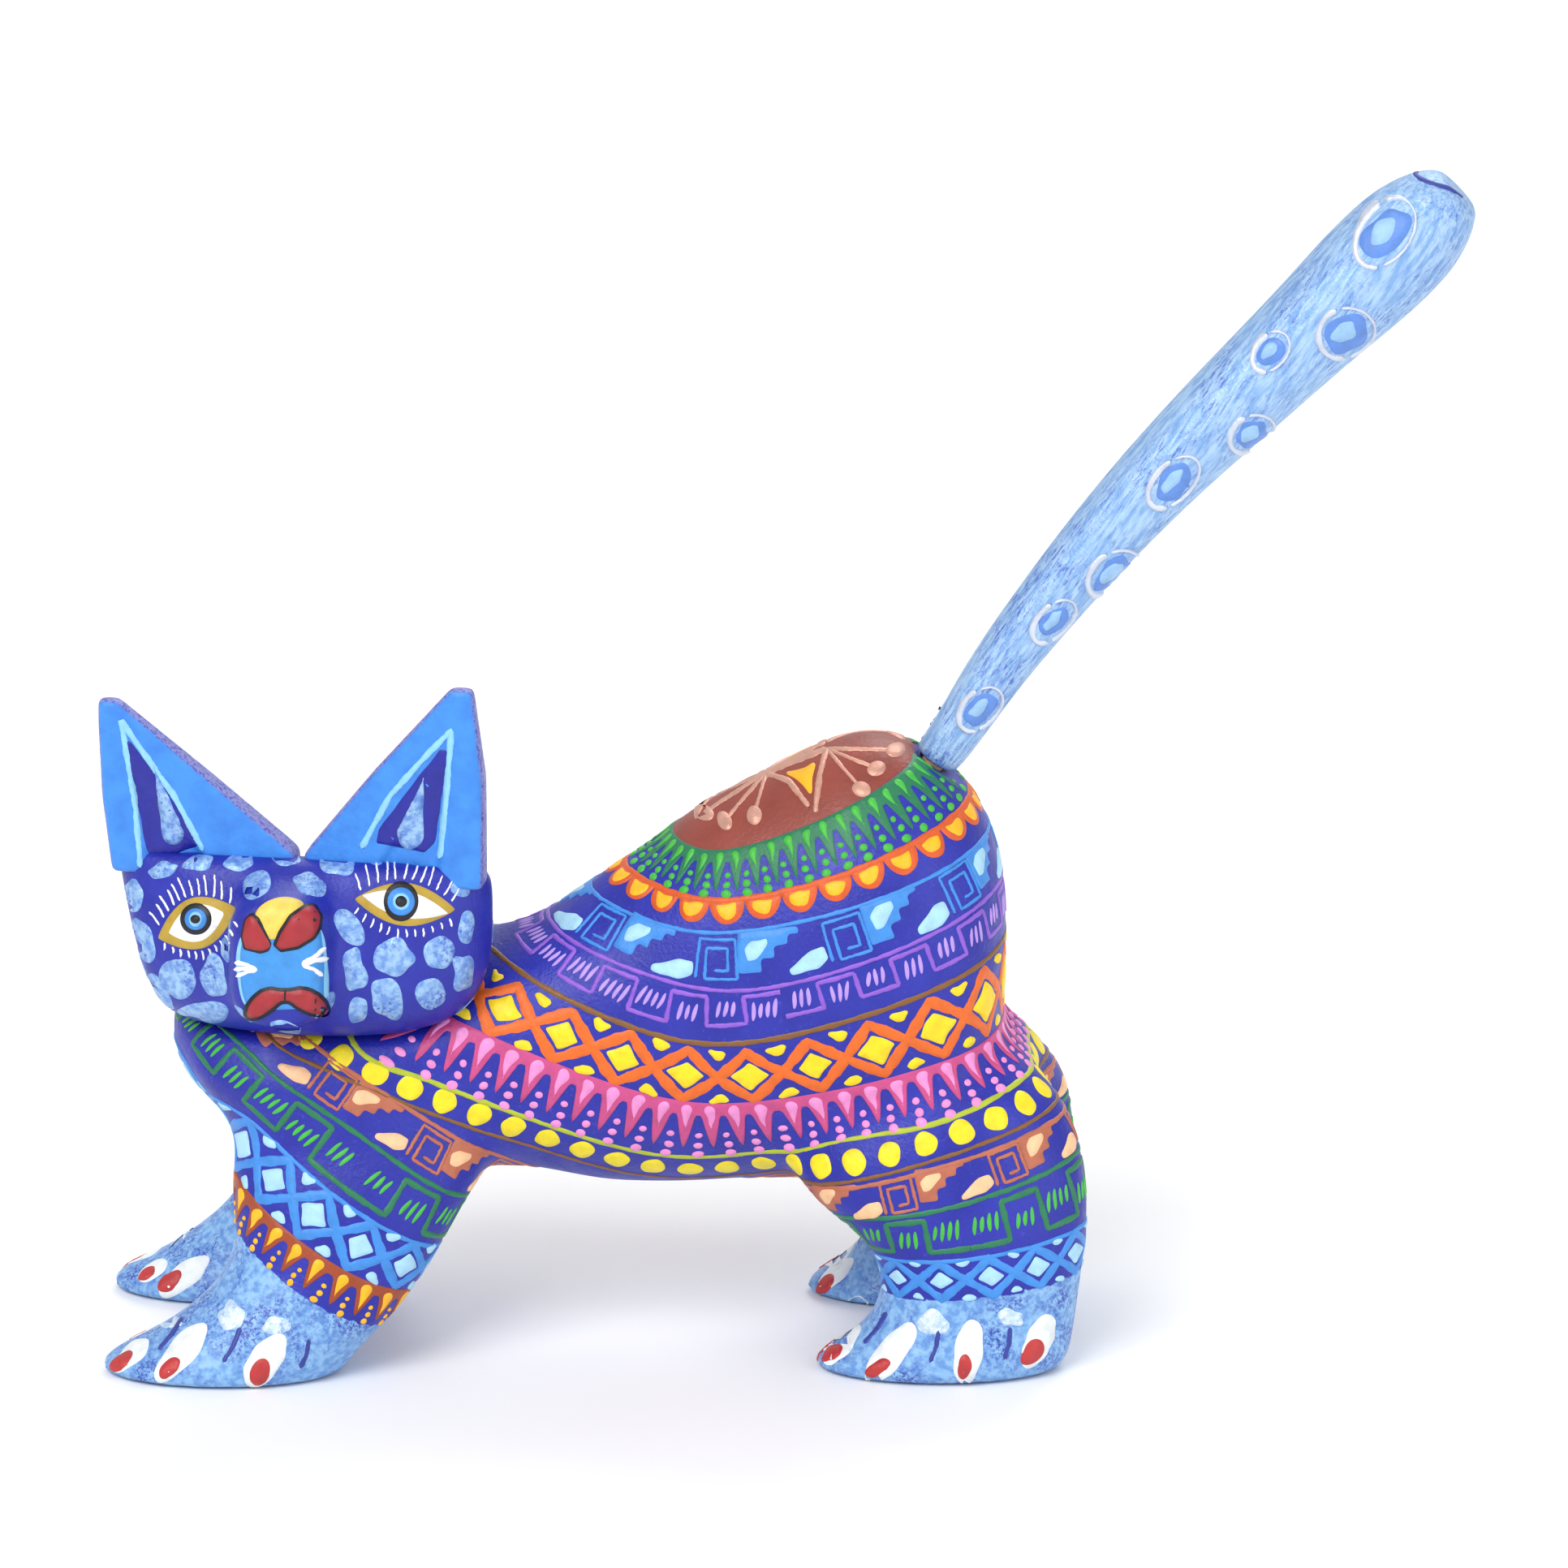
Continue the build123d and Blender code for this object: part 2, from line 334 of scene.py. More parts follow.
def mix(tree, factor, first, second):
    """Two colours mixed."""
    made = tree.nodes.new("ShaderNodeMix")
    made.data_type = "RGBA"
    for socket, value in ((made.inputs[0], factor), (made.inputs[6], first), (made.inputs[7], second)):
        if isinstance(value, bpy.types.NodeSocket):
            tree.links.new(value, socket)
        else:
            socket.default_value = value
    return made.outputs[2]


def start_material(name):
    """A new material, its node tree, its shader and its object coordinates."""
    made = bpy.data.materials.new(name)
    made.use_nodes = True
    tree = made.node_tree
    shader = tree.nodes["Principled BSDF"]
    spot = tree.nodes.new("ShaderNodeTexCoord").outputs["Object"]
    return made, tree, shader, spot


def finish_surface(tree, shader, spot, rough, bump, grain_scale):
    """Uneven gloss and a fine brushed bump."""
    gloss = noise(tree, spot, 260.0)
    low_high = add_node(
        tree,
        "ShaderNodeMapRange",
        [
            ("Value", gloss),
            ("From Min", 0.3),
            ("From Max", 0.7),
            ("To Min", rough - 0.07),
            ("To Max", rough + 0.09),
        ],
    )
    tree.links.new(low_high.outputs["Result"], shader.inputs["Roughness"])
    grain = noise(tree, spot, grain_scale, 4.0, 0.6)
    raised = add_node(tree, "ShaderNodeBump", [("Height", grain), ("Strength", bump), ("Distance", 0.0004)])
    tree.links.new(raised.outputs["Normal"], shader.inputs["Normal"])


def brushed_paint(name, light, dark=None, rough=0.42, metallic=0.0, patch_scale=420.0):
    """Hand-brushed paint: one colour that thins to a second one in soft patches."""
    made, tree, shader, spot = start_material(name)
    dark = dark or tuple(c * 0.84 for c in light[:3]) + (1.0,)
    amount = ramp(tree, noise(tree, spot, patch_scale), 0.42, 0.72)
    tree.links.new(mix(tree, amount, light, dark), shader.inputs["Base Color"])
    shader.inputs["Metallic"].default_value = metallic
    finish_surface(tree, shader, spot, rough, 0.35, 1400.0)
    return made


def sponged_paint(name, light, middle, dark, metallic=0.25, grain=1500.0, stretch=(1, 1, 1), turn=(0, 0, 0)):
    """Metallic paint dabbed on with a sponge, so that the darker coat shows through in specks."""
    made, tree, shader, spot = start_material(name)
    turned = add_node(tree, "ShaderNodeMapping", [("Vector", spot)], vector_type="TEXTURE")
    turned.inputs["Rotation"].default_value = turn
    turned.inputs["Scale"].default_value = stretch
    spot_turned = turned.outputs["Vector"]
    speck = ramp(tree, noise(tree, spot_turned, grain, 4.0, 0.75), 0.50, 0.60)
    cloud = ramp(tree, noise(tree, spot, 130.0, 3.0, 0.6), 0.38, 0.66)
    both = add_node(tree, "ShaderNodeMath", [(0, speck), (1, cloud)], operation="MULTIPLY")
    base = mix(tree, ramp(tree, noise(tree, spot_turned, grain * 0.45), 0.4, 0.62), light, middle)
    tree.links.new(mix(tree, both.outputs[0], base, dark), shader.inputs["Base Color"])
    shader.inputs["Metallic"].default_value = metallic
    finish_surface(tree, shader, spot, 0.38, 0.5, 1800.0)
    return made


def body_paint():
    """Ultramarine over the trunk and legs, sponged light blue on the paws."""
    made, tree, shader, spot = start_material("ultramarine_coat")
    patches = ramp(tree, noise(tree, spot, 90.0, 4.0), 0.38, 0.66)
    blue = mix(tree, patches, colour(22, 30, 150), colour(32, 40, 164))
    wear = ramp(tree, noise(tree, spot, 900.0, 4.0, 0.7), 0.60, 0.74)
    blue = mix(tree, wear, blue, colour(60, 64, 182))
    speck = ramp(tree, noise(tree, spot, 1500.0, 4.0, 0.75), 0.47, 0.57)
    thin = ramp(tree, noise(tree, spot, 700.0), 0.4, 0.62)
    sponge = mix(tree, thin, colour(140, 186, 228), colour(96, 146, 208))
    cloud = ramp(tree, noise(tree, spot, 120.0), 0.40, 0.62)
    dark_part = add_node(tree, "ShaderNodeMath", [(0, speck), (1, cloud)], operation="MULTIPLY")
    sponge = mix(tree, dark_part.outputs[0], sponge, colour(52, 70, 168))
    mask = add_node(tree, "ShaderNodeAttribute", attribute_name="sponge")
    rag = noise(tree, spot, 800.0)
    worn = add_node(tree, "ShaderNodeMath", [(0, rag), (1, mask.outputs["Fac"])], operation="ADD")
    edge = ramp(tree, worn.outputs[0], 0.92, 1.08)
    blue = mix(tree, edge, blue, sponge)
    clay = mix(tree, patches, colour(146, 64, 50), colour(128, 54, 42))
    back = add_node(tree, "ShaderNodeAttribute", attribute_name="medallion")
    tree.links.new(mix(tree, back.outputs["Fac"], blue, clay), shader.inputs["Base Color"])
    finish_surface(tree, shader, spot, 0.40, 0.4, 1200.0)
    return made


def ear_paint():
    """Azure on the front, dark metallic blue on the edges and back."""
    made, tree, shader, spot = start_material("ear_coat")
    patches = ramp(tree, noise(tree, spot, 240.0), 0.4, 0.7)
    azure = mix(tree, patches, colour(58, 138, 226), colour(48, 122, 212))
    speck = ramp(tree, noise(tree, spot, 1600.0, 4.0, 0.75), 0.48, 0.60)
    rim = mix(tree, speck, colour(128, 132, 196), colour(58, 54, 160))
    mask = add_node(tree, "ShaderNodeAttribute", attribute_name="front")
    tree.links.new(mix(tree, mask.outputs["Fac"], rim, azure), shader.inputs["Base Color"])
    finish_surface(tree, shader, spot, 0.42, 0.4, 1300.0)
    return made


# ---------------------------------------------------------------- paint laid on a surface

LAYER = 0.09
SINK = 0.10
EDGE = 0.22
LONGEST_EDGE = 4.0


class Coat:
    """All the dabs of one colour on one carved piece, as one thin raised mesh."""

    def __init__(self, name, material, level=1, thickness=LAYER):
        self.name = name
        self.material = material
        self.height = 0.05 + thickness * level
        self.points = []
        self.faces = []
        self.count = 0

    def add(self, points, faces):
        """Takes up one more dab, with its corner numbers counted from its own first point."""
        self.points.append(points)
        self.faces.append(np.asarray(faces) + self.count)
        self.count += len(points)

    def trim(self, keep):
        """Drops the faces with a corner where keep isn't true."""
        points, faces = np.concatenate(self.points), np.concatenate(self.faces)
        self.points, self.faces = [points], [faces[keep(points)[faces].all(1)]]

    def finish(self, field, rides, slot):
        """Makes the mesh, without stretched faces and with every face turned outwards."""
        points, faces = np.concatenate(self.points), np.concatenate(self.faces)
        edges = np.linalg.norm(points[faces] - points[np.roll(faces, 1, 1)], axis=2)
        faces = faces[edges.max(1) < LONGEST_EDGE]
        used, faces = np.unique(faces, return_inverse=True)
        points, faces = points[used], faces.reshape(-1, 3)
        points[:, 2] = np.maximum(points[:, 2], 0.0)
        a, b, c = (points[faces[:, i]] for i in range(3))
        inward = (np.cross(b - a, c - a) * field.normal((a + b + c) / 3)).sum(1) < 0
        faces[inward] = faces[inward][:, ::-1]
        made = new_mesh(self.name, points, faces)
        made.data.materials.append(self.material)
        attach(made, rides)
        return made


def resample(path, spacing, closed=False):
    """Points along a path, evenly spaced."""
    path = np.asarray(path, float)
    if closed:
        path = np.vstack([path, path[:1]])
    run = np.concatenate([[0], np.cumsum(np.linalg.norm(np.diff(path, axis=0), axis=1))])
    count = max(int(round(run[-1] / spacing)), 3)
    spots = np.linspace(0, run[-1], count + 1)
    if closed:
        spots = spots[:-1]
    return np.stack([np.interp(spots, run, path[:, i]) for i in range(path.shape[1])], 1)


class Dab:
    """A painted shape in the flat: an outline with a sunk rim and a raised top."""

    def __init__(self, outline, spacing=0.6):
        outline = resample(outline, spacing, closed=True)
        area = np.sum(outline[:, 0] * np.roll(outline[:, 1], -1) - outline[:, 1] * np.roll(outline[:, 0], -1))
        if area < 0:
            outline = outline[::-1]
        soft = (np.roll(outline, 1, 0) + 2 * outline + np.roll(outline, -1, 0)) / 4
        direction = unit(np.roll(soft, -1, 0) - np.roll(soft, 1, 0))
        inner = soft + EDGE * np.stack([-direction[:, 1], direction[:, 0]], 1)
        low, high = inner.min(0), inner.max(0)
        rows = [np.arange(a + 0.7, b, 1.2) for a, b in zip(low, high)]
        grid = np.stack(np.meshgrid(*rows), -1).reshape(-1, 2)
        if len(grid):
            near = np.linalg.norm(grid[:, None] - inner[None], axis=2).min(1)
            grid = grid[near > 0.45]
        count = len(inner)
        spots = [Vector(p) for p in inner] + [Vector(p) for p in grid]
        made = geometry.delaunay_2d_cdt(spots, [], [list(range(count))], 1, 1e-5)
        top = np.array([list(v) for v in made[0]])
        tops = np.array([list(f) for f in made[2]])
        # Vertices come back in order, so the first ones are the inner ring.
        ring = np.arange(count)
        after = np.roll(ring, -1)
        rim = ring + len(top)
        skirt = np.concatenate([
            np.stack([rim, np.roll(rim, -1), after], 1),
            np.stack([rim, after, ring], 1),
        ])
        self.flat = np.vstack([top, soft])
        self.top = np.concatenate([np.ones(len(top)), np.zeros(count)])
        self.top[count:len(top)] = 1.2
        self.faces = np.vstack([tops, skirt])


def stamp(coat, place, dab, spots, size=(1.0, 1.0), angles=0.0, wobble=0.12):
    """One dab at each spot, each with its own size, angle and shaky outline."""
    spots = np.atleast_2d(spots)
    count = len(spots)
    size = np.broadcast_to(np.asarray(size, float), (count, 2))
    size = size * rng.uniform(0.92, 1.08, (count, 2))
    angles = np.broadcast_to(angles, count) + rng.normal(0, 0.05, count)
    flat = dab.flat[None] * size[:, None]
    waves = rng.uniform(0.8, 2.0, (count, 1, 2)) * rng.choice([-1, 1], (count, 1, 2))
    phase = rng.uniform(0, 6.3, (count, 1, 2))
    flat = flat + wobble * np.sin(flat[:, :, ::-1] * waves + phase)
    cos, sin = np.cos(angles)[:, None], np.sin(angles)[:, None]
    u = spots[:, :1] + flat[..., 0] * cos - flat[..., 1] * sin
    v = spots[:, 1:2] + flat[..., 0] * sin + flat[..., 1] * cos
    heights = np.where(dab.top > 0, coat.height * np.maximum(dab.top, 1), -SINK)
    heights = np.broadcast_to(heights, u.shape)
    points = place(u.ravel(), v.ravel(), heights.ravel())
    offsets = np.arange(count)[:, None, None] * len(dab.flat)
    coat.add(points, (dab.faces[None] + offsets).reshape(-1, 3))


def stroke(coat, place, path, width, spacing=0.5, taper=True, closed=False):
    """A brush line along a path.  A closed one runs right round a band."""
    if not closed:
        path = resample(path, spacing)
    path = path + rng.normal(0, 0.03, path.shape)
    direction = unit(np.gradient(path, axis=0))
    side = np.stack([-direction[:, 1], direction[:, 0]], 1)
    run = np.arange(len(path)) * spacing
    half = width / 2 * (1 + 0.12 * np.sin(run * 0.9 + rng.uniform(0, 6)) + 0.06 * np.sin(run * 2.3))
    if taper and not closed:
        ends = np.minimum(run, run[-1] - run) / (width * 0.6)
        half = half * np.sqrt(np.clip(0.08 + ends * (2 - ends), 0, 1) * (ends < 1) + (ends >= 1))
    rows = np.array([-1.0, -0.7, 0.0, 0.7, 1.0])
    lifts = np.array([-SINK, coat.height, coat.height * 1.25, coat.height, -SINK])
    flat = path[:, None] + side[:, None] * (half[:, None] * rows)[..., None]
    heights = np.broadcast_to(lifts, flat.shape[:2])
    points = place(flat[..., 0].ravel(), flat[..., 1].ravel(), heights.ravel())
    coat.add(points, strip_faces(len(path), len(rows), closed))


def strip_faces(length, rows, closed):
    """Triangles of a grid of points, row numbers changing fastest."""
    count = length if closed else length - 1
    i = np.arange(count)[:, None] * rows
    j = np.arange(rows - 1)[None]
    a, b = i + j, i + j + 1
    c, d = (a + rows) % (length * rows), (b + rows) % (length * rows)
    return np.concatenate([
        np.stack([a, c, d], -1).reshape(-1, 3),
        np.stack([a, d, b], -1).reshape(-1, 3),
    ])


def fill_strip(coat, place, u, upper, lower, closed):
    """A band of solid colour between two edges given at each u."""
    deep = np.maximum(upper - lower, 0.02)
    edge = np.minimum(EDGE, deep * 0.3)
    inner = np.linspace(0, 1, 6)
    rows = [upper] + [upper - edge - (deep - 2 * edge) * s for s in inner] + [lower]
    v = np.stack(rows, 1)
    lifts = np.array([-SINK] + [coat.height] * len(inner) + [-SINK])
    heights = np.broadcast_to(lifts, v.shape)
    points = place(np.repeat(u, v.shape[1]), v.ravel(), heights.ravel())
    coat.add(points, strip_faces(len(u), v.shape[1], closed))


SAG_ROUND = 14.0


def sag(low_x, low_z, front, back):
    """An edge that hangs lowest at low_x and rises to each side: returns z and its slope at x."""

    def at(x):
        away = x - low_x
        reach = np.sqrt(away * away + SAG_ROUND**2)
        steep = np.where(away < 0, front, back)
        return low_z + steep * (reach - SAG_ROUND), steep * away / reach

    return at


def cross_leg(centre, level, steep, bend=0.0):
    """An edge that crosses a leg, with its height and slope at the leg's middle."""

    def at(x):
        away = x - centre
        return level + steep * away + bend * away * away, steep + 2 * bend * away

    return at


def _wrap(count):
    """Places in a loop of count - 1 points that come back to the first."""
    return np.append(np.arange(count - 1), 0)


class Band:
    """A painted band round the body, with its own coordinates: u along it, v up across it."""

    STEP = 0.8
    MOST_STEPS = 900
    LEAST_STEEP = 0.35

    def __init__(self, field, top, bottom, start, side=-1, widest=14.0):
        self.field, self.widest = field, widest
        self.top, self.bottom = top, bottom
        self.trace(start, side)

    def middle(self, x):
        """The height of the middle line at x, and its slope."""
        (a, da), (b, db) = self.top(x), self.bottom(x)
        return (a + b) / 2, (da + db) / 2

    def slope_up(self, point, normal):
        """The height of points over the middle line, and its slope along the surface."""
        z, slope = self.middle(point[..., 0])
        rise = np.stack([-slope, np.zeros_like(slope), np.ones_like(slope)], -1)
        return point[..., 2] - z, rise - (rise * normal).sum(-1, keepdims=True) * normal

    def trace(self, start, side):
        """Follows the middle line round the body, and measures the band's width on the way."""
        point = np.array([start, side * 60.0, self.middle(np.float64(start))[0]])
        point = self.field.cast(point[None], np.array([0.0, -side, 0.0]))[0]
        first = point
        found = []
        for i in range(self.MOST_STEPS):
            for _ in range(2):
                normal = self.field.normal(point)
                over, up = self.slope_up(point, normal)
                point = point - self.field.sample(point) * normal - over * up / max(up @ up, 0.05)
            found.append(point)
            if i > 20 and np.linalg.norm(point - first) < self.STEP:
                break
            if i == 0:
                first = point
            point = point + self.STEP * unit(np.cross(up, normal))
        points = np.array(found)
        self.closed = np.linalg.norm(points[-1] - first) < 2 * self.STEP
        normals = self.field.normal(points)
        _, up = self.slope_up(points, normals)
        steep = np.maximum(np.linalg.norm(up, axis=1), self.LEAST_STEEP)
        z = points[:, 2]
        above = (self.top(points[:, 0])[0] - z) / steep
        below = (z - self.bottom(points[:, 0])[0]) / steep
        self.points = self.even(points, 1)
        self.up = unit(self.even(unit(up), 4))
        self.above = self.even(np.clip(above, 0.5, self.widest), 4)
        self.below = self.even(np.clip(below, 0.5, self.widest), 4)
        gaps = np.linalg.norm(np.diff(points, axis=0), axis=1)
        self.run = np.concatenate([[0], np.cumsum(gaps)])
        self.length = self.run[-1]

    def even(self, table, reach):
        """A running mean along the band."""
        if self.closed:
            steps = range(-reach, reach + 1)
            return sum(np.roll(table[:-1], i, 0) for i in steps)[_wrap(len(table))] / len(steps)
        pad = [(reach, reach)] + [(0, 0)] * (table.ndim - 1)
        padded = np.pad(table, pad, mode="edge")
        return sum(padded[i:i + len(table)] for i in range(2 * reach + 1)) / (2 * reach + 1)

    def look(self, u, table):
        """A traced table's values at places along the band."""
        u = np.mod(u, self.length) if self.closed else np.clip(u, 0, self.length)
        if table.ndim == 1:
            return np.interp(u, self.run, table)
        return np.stack([np.interp(u, self.run, table[:, i]) for i in range(table.shape[1])], -1)

    def place(self, u, v, heights):
        """Points on the surface from band coordinates."""
        points = self.look(u, self.points) + self.look(u, self.up) * v[:, None]
        return self.field.drop(points, heights, 3)[0]

    def v(self, u, part):
        """The v of a part of the band's width: 1 at its top edge, -1 at its bottom edge."""
        u, part = np.broadcast_arrays(np.asarray(u, float), part)
        return np.where(part > 0, part * self.look(u, self.above), part * self.look(u, self.below))

    def spots(self, pitch):
        """Evenly spaced places along the band, and their spacing."""
        count = max(int(round(self.length / pitch)), 1)
        return (np.arange(count) + 0.5) * self.length / count, self.length / count

    def line(self, coat, part, width, spacing=0.8):
        """A line along the whole band."""
        u = np.linspace(0, self.length, int(self.length / spacing), endpoint=not self.closed)
        path = np.stack([u, self.v(u, part)], 1)
        stroke(coat, self.place, path, width, spacing, closed=self.closed)


# ---------------------------------------------------------------- painted shapes


def oval(long, wide, count=20):
    """An oval, long along v."""
    angle = np.linspace(0, 2 * math.pi, count, endpoint=False)
    return np.stack([wide / 2 * np.cos(angle), long / 2 * np.sin(angle)], 1)


def teardrop(long, wide):
    """A drop with its round end up and its point down."""
    angle = np.linspace(0, math.pi, 12)
    cap = np.stack([wide / 2 * np.cos(angle), long / 2 - wide / 2 + wide / 2 * np.sin(angle)], 1)
    tip = [(-wide * 0.30, 0.0), (0.0, -long / 2), (wide * 0.30, 0.0)]
    return np.vstack([cap, tip])


def half_disc(long, wide):
    """A half disc hanging from its flat side."""
    angle = np.linspace(math.pi, 2 * math.pi, 14)
    return np.stack([wide / 2 * np.cos(angle), long / 2 + long * np.sin(angle)], 1)


def diamond(long, wide):
    """A diamond, long along v."""
    return [(wide / 2, 0), (0, long / 2), (-wide / 2, 0), (0, -long / 2)]


def wedge(long, wide):
    """A triangle, point down."""
    return [(-wide / 2, long / 2), (wide / 2, long / 2), (0.0, -long / 2)]


def spiral(size, turns):
    """A square spiral from its outer corner inwards."""
    half = size / 2
    path = [(-half, -half)]
    step = size / (turns * 2.0 + 0.6)
    x0, x1, y0, y1 = -half, half, -half, half
    for _ in range(int(turns * 4)):
        side = len(path) % 4
        if side == 1:
            path.append((x0, y1))
            x0 += step
        elif side == 2:
            path.append((x1, y1))
            y1 -= step
        elif side == 3:
            path.append((x1, y0))
            x1 -= step
        else:
            path.append((x0, y0))
            y0 += step
    return np.array(path)


def fringe(band, fill, drops, dots, pitch, depth=0.4, tooth=-0.8, drop=(4.6, 2.0), dot=1.6):
    """A solid strip with a row of teeth, a drop on each tooth and dots between them."""
    spots, pitch = band.spots(pitch)
    u = np.linspace(0, band.length, int(band.length / 0.4), endpoint=not band.closed)
    saw = np.abs(((u / pitch) % 1.0) - 0.5) * 2
    saw = np.clip(1.5 * (1 - saw) - 0.4, 0, 1)
    part = depth + (tooth - depth) * saw
    fill_strip(fill, band.place, u, band.v(u, 1.0), band.v(u, part), band.closed)
    centre = band.v(spots, 1.0) - 0.5 - drop[0] / 2
    stamp(drops, band.place, Dab(teardrop(*drop), 0.45), np.stack([spots, centre], 1))
    between = spots + pitch / 2
    for i, level in enumerate((-0.12, -0.5, -0.86)):
        size = dot * (0.85 + 0.14 * i)
        places = np.stack([between + rng.normal(0, 0.1, len(between)), band.v(between, level)], 1)
        stamp(dots, band.place, Dab(oval(size, size), 0.4), places, wobble=0.06)


def scallops(band, line, discs, pitch, depth, width=1.3):
    """Half discs that hang from a line, each with a smaller one in it."""
    spots, pitch = band.spots(pitch)
    band.line(line, 0.8, width)
    top = band.v(spots, 0.8)
    outer, inner = Dab(half_disc(depth, pitch * 1.04)), Dab(half_disc(depth - 1.3, pitch - 2.0))
    stamp(line, band.place, outer, np.stack([spots, top - depth / 2], 1), wobble=0.05)
    stamp(discs, band.place, inner, np.stack([spots, top - 0.5 - (depth - 1.3) / 2], 1), wobble=0.15)


# One repeat of the stepped band: a spiral at 0, then a stepped block and two triangles.
STEPS_LONG = 22.4
STEPPED_BLOCK = np.array([
    (3.6, 4.2), (14.2, 4.2), (14.2, 2.9), (12.2, 2.9), (12.2, 1.4), (10.0, 1.4),
    (10.0, -0.4), (7.8, -0.4), (7.8, -2.6), (3.6, -2.6),
])
UPPER_TRIANGLE = np.array([(4.4, 3.2), (11.2, 3.2), (5.0, -1.8)])
LOWER_TRIANGLE = np.array([(9.4, -4.0), (18.6, -4.0), (18.0, 0.8)])
BLOCK_CENTRE = np.array([8.9, 0.0])
TRIANGLE_CENTRE = np.array([14.0, -1.6])


def steps_and_spirals(band, line, pale, pitch, scale):
    """Square spirals between stepped blocks and triangles."""
    spots, pitch = band.spots(pitch)
    stretch = np.array([pitch / STEPS_LONG, scale])
    high = band.v(spots, 0.0)
    marks = (
        (line, STEPPED_BLOCK, BLOCK_CENTRE),
        (pale, rounded(UPPER_TRIANGLE, 1), BLOCK_CENTRE),
        (pale, rounded(LOWER_TRIANGLE, 1), TRIANGLE_CENTRE),
    )
    for coat, shape, centre in marks:
        across, rise = centre * stretch
        places = np.stack([spots + across, high + rise], 1)
        stamp(coat, band.place, Dab((shape - centre) * stretch, 0.5), places, wobble=0.06)
    for centre, middle in zip(spots, high):
        path = spiral(6.6 * scale, 2.0) + (centre, middle)
        stroke(line, band.place, path, 0.64, 0.35)


def meander(band, line, marks, pitch, reach=0.62, width=0.9, size=(3.8, 0.95), lean=0.25):
    """A square wave with a few short strokes in each of its bays."""
    spots, pitch = band.spots(pitch)
    path = []
    for i, centre in enumerate(spots):
        high = reach if i % 2 else -reach
        for edge in (-0.5, 0.5):
            place = centre + edge * pitch
            path.append((place, float(band.v(place, high))))
    stroke(line, band.place, path, width, 0.45, taper=not band.closed)
    mark = Dab(oval(*size, 14), 0.4)
    for i, centre in enumerate(spots):
        number = 3 + int(rng.random() < 0.4)
        places = centre + (np.arange(number) - (number - 1) / 2) * pitch * 0.19
        middle = band.v(places, 0.10 if i % 2 == 0 else -0.10)
        lengths = np.stack([np.ones(number), rng.uniform(0.85, 1.15, number)], 1)
        stamp(marks, band.place, mark, np.stack([places, middle], 1), lengths, -lean, wobble=0.05)


def inner_share(wide, tall, border):
    """How large a diamond may be drawn inside a larger one and leave a border."""
    inner_radius = wide * tall / (2 * math.hypot(wide, tall))
    return max(1 - border / inner_radius, 0.3)


def lattice(band, line, fills, pitch, width=2.2):
    """Two crossing zigzags, with diamonds between them and small triangles at the edges."""
    spots, pitch = band.spots(pitch)
    for sign in (1, -1):
        halves = np.repeat(spots, 2) + np.tile([0, pitch / 2], len(spots))
        places = np.concatenate([[spots[0] - pitch / 2], halves])
        parts = np.concatenate([[0.0], np.tile([0.92 * sign, 0.0], len(spots))])
        path = np.stack([places, band.v(places, parts)], 1)
        stroke(line, band.place, path, width, 0.5, taper=not band.closed)
    high = 0.92 * (band.look(spots, band.above) + band.look(spots, band.below))
    border = width / 2 + 0.35
    for centre, tall in zip(spots, high):
        share = inner_share(pitch, tall, border)
        shape = Dab(diamond(tall * share, pitch * share), 0.45)
        stamp(fills, band.place, shape, [(centre, float(band.v(centre, 0.0)))], wobble=0.15)
    between = spots + pitch / 2
    tall = float(np.median(high))
    share = inner_share(pitch, tall, border)
    for part, turn in ((0.78, 0.0), (-0.78, math.pi)):
        shape = Dab(rounded(wedge(tall * 0.46 * share, pitch * 0.75 * share), 1), 0.4)
        places = np.stack([between, band.v(between, part)], 1)
        stamp(fills, band.place, shape, places, angles=turn, wobble=0.2)


# ---------------------------------------------------------------- the body's bands

PAINT = {
    "terracotta": (143, 62, 48),
    "copper": (214, 160, 140),
    "gold_yellow": (250, 182, 18),
    "dark_green": (28, 118, 78),
    "bright_green": (64, 182, 58),
    "orange_red": (216, 88, 26),
    "amber": (252, 186, 14),
    "sky_blue": (58, 138, 220),
    "pale_blue": (168, 216, 240),
    "purple": (140, 88, 204),
    "lilac": (186, 150, 230),
    "olive": (128, 84, 34),
    "orange": (230, 104, 18),
    "yellow": (250, 216, 10),
    "raspberry": (200, 72, 132),
    "pink": (240, 146, 208),
    "lime_line": (176, 190, 40),
    "lemon": (244, 222, 22),
    "sienna": (184, 104, 76),
    "tan": (250, 198, 150),
    "rust": (158, 66, 28),
    "ochre": (184, 152, 50),
    "white": (243, 242, 244),
    "black": (14, 12, 26),
    "deep_blue": (26, 30, 148),
    "snout": (60, 144, 220),
    "nose": (238, 206, 88),
    "red": (164, 38, 46),
    "outline_blue": (142, 206, 240),
    "toe_white": (236, 241, 240),
    "claw": (190, 50, 50),
    # Dark blue, used for painted shade in the creases between the toes and for the dark stroke on the tail's
    # top.
    "shade_and_streak": (46, 60, 150),
    "pearl": (206, 214, 230),
    "tail_blue": (92, 136, 212),
    "tail_pale": (150, 192, 232),
}
METALLIC = {"copper": 0.45, "pearl": 0.5}

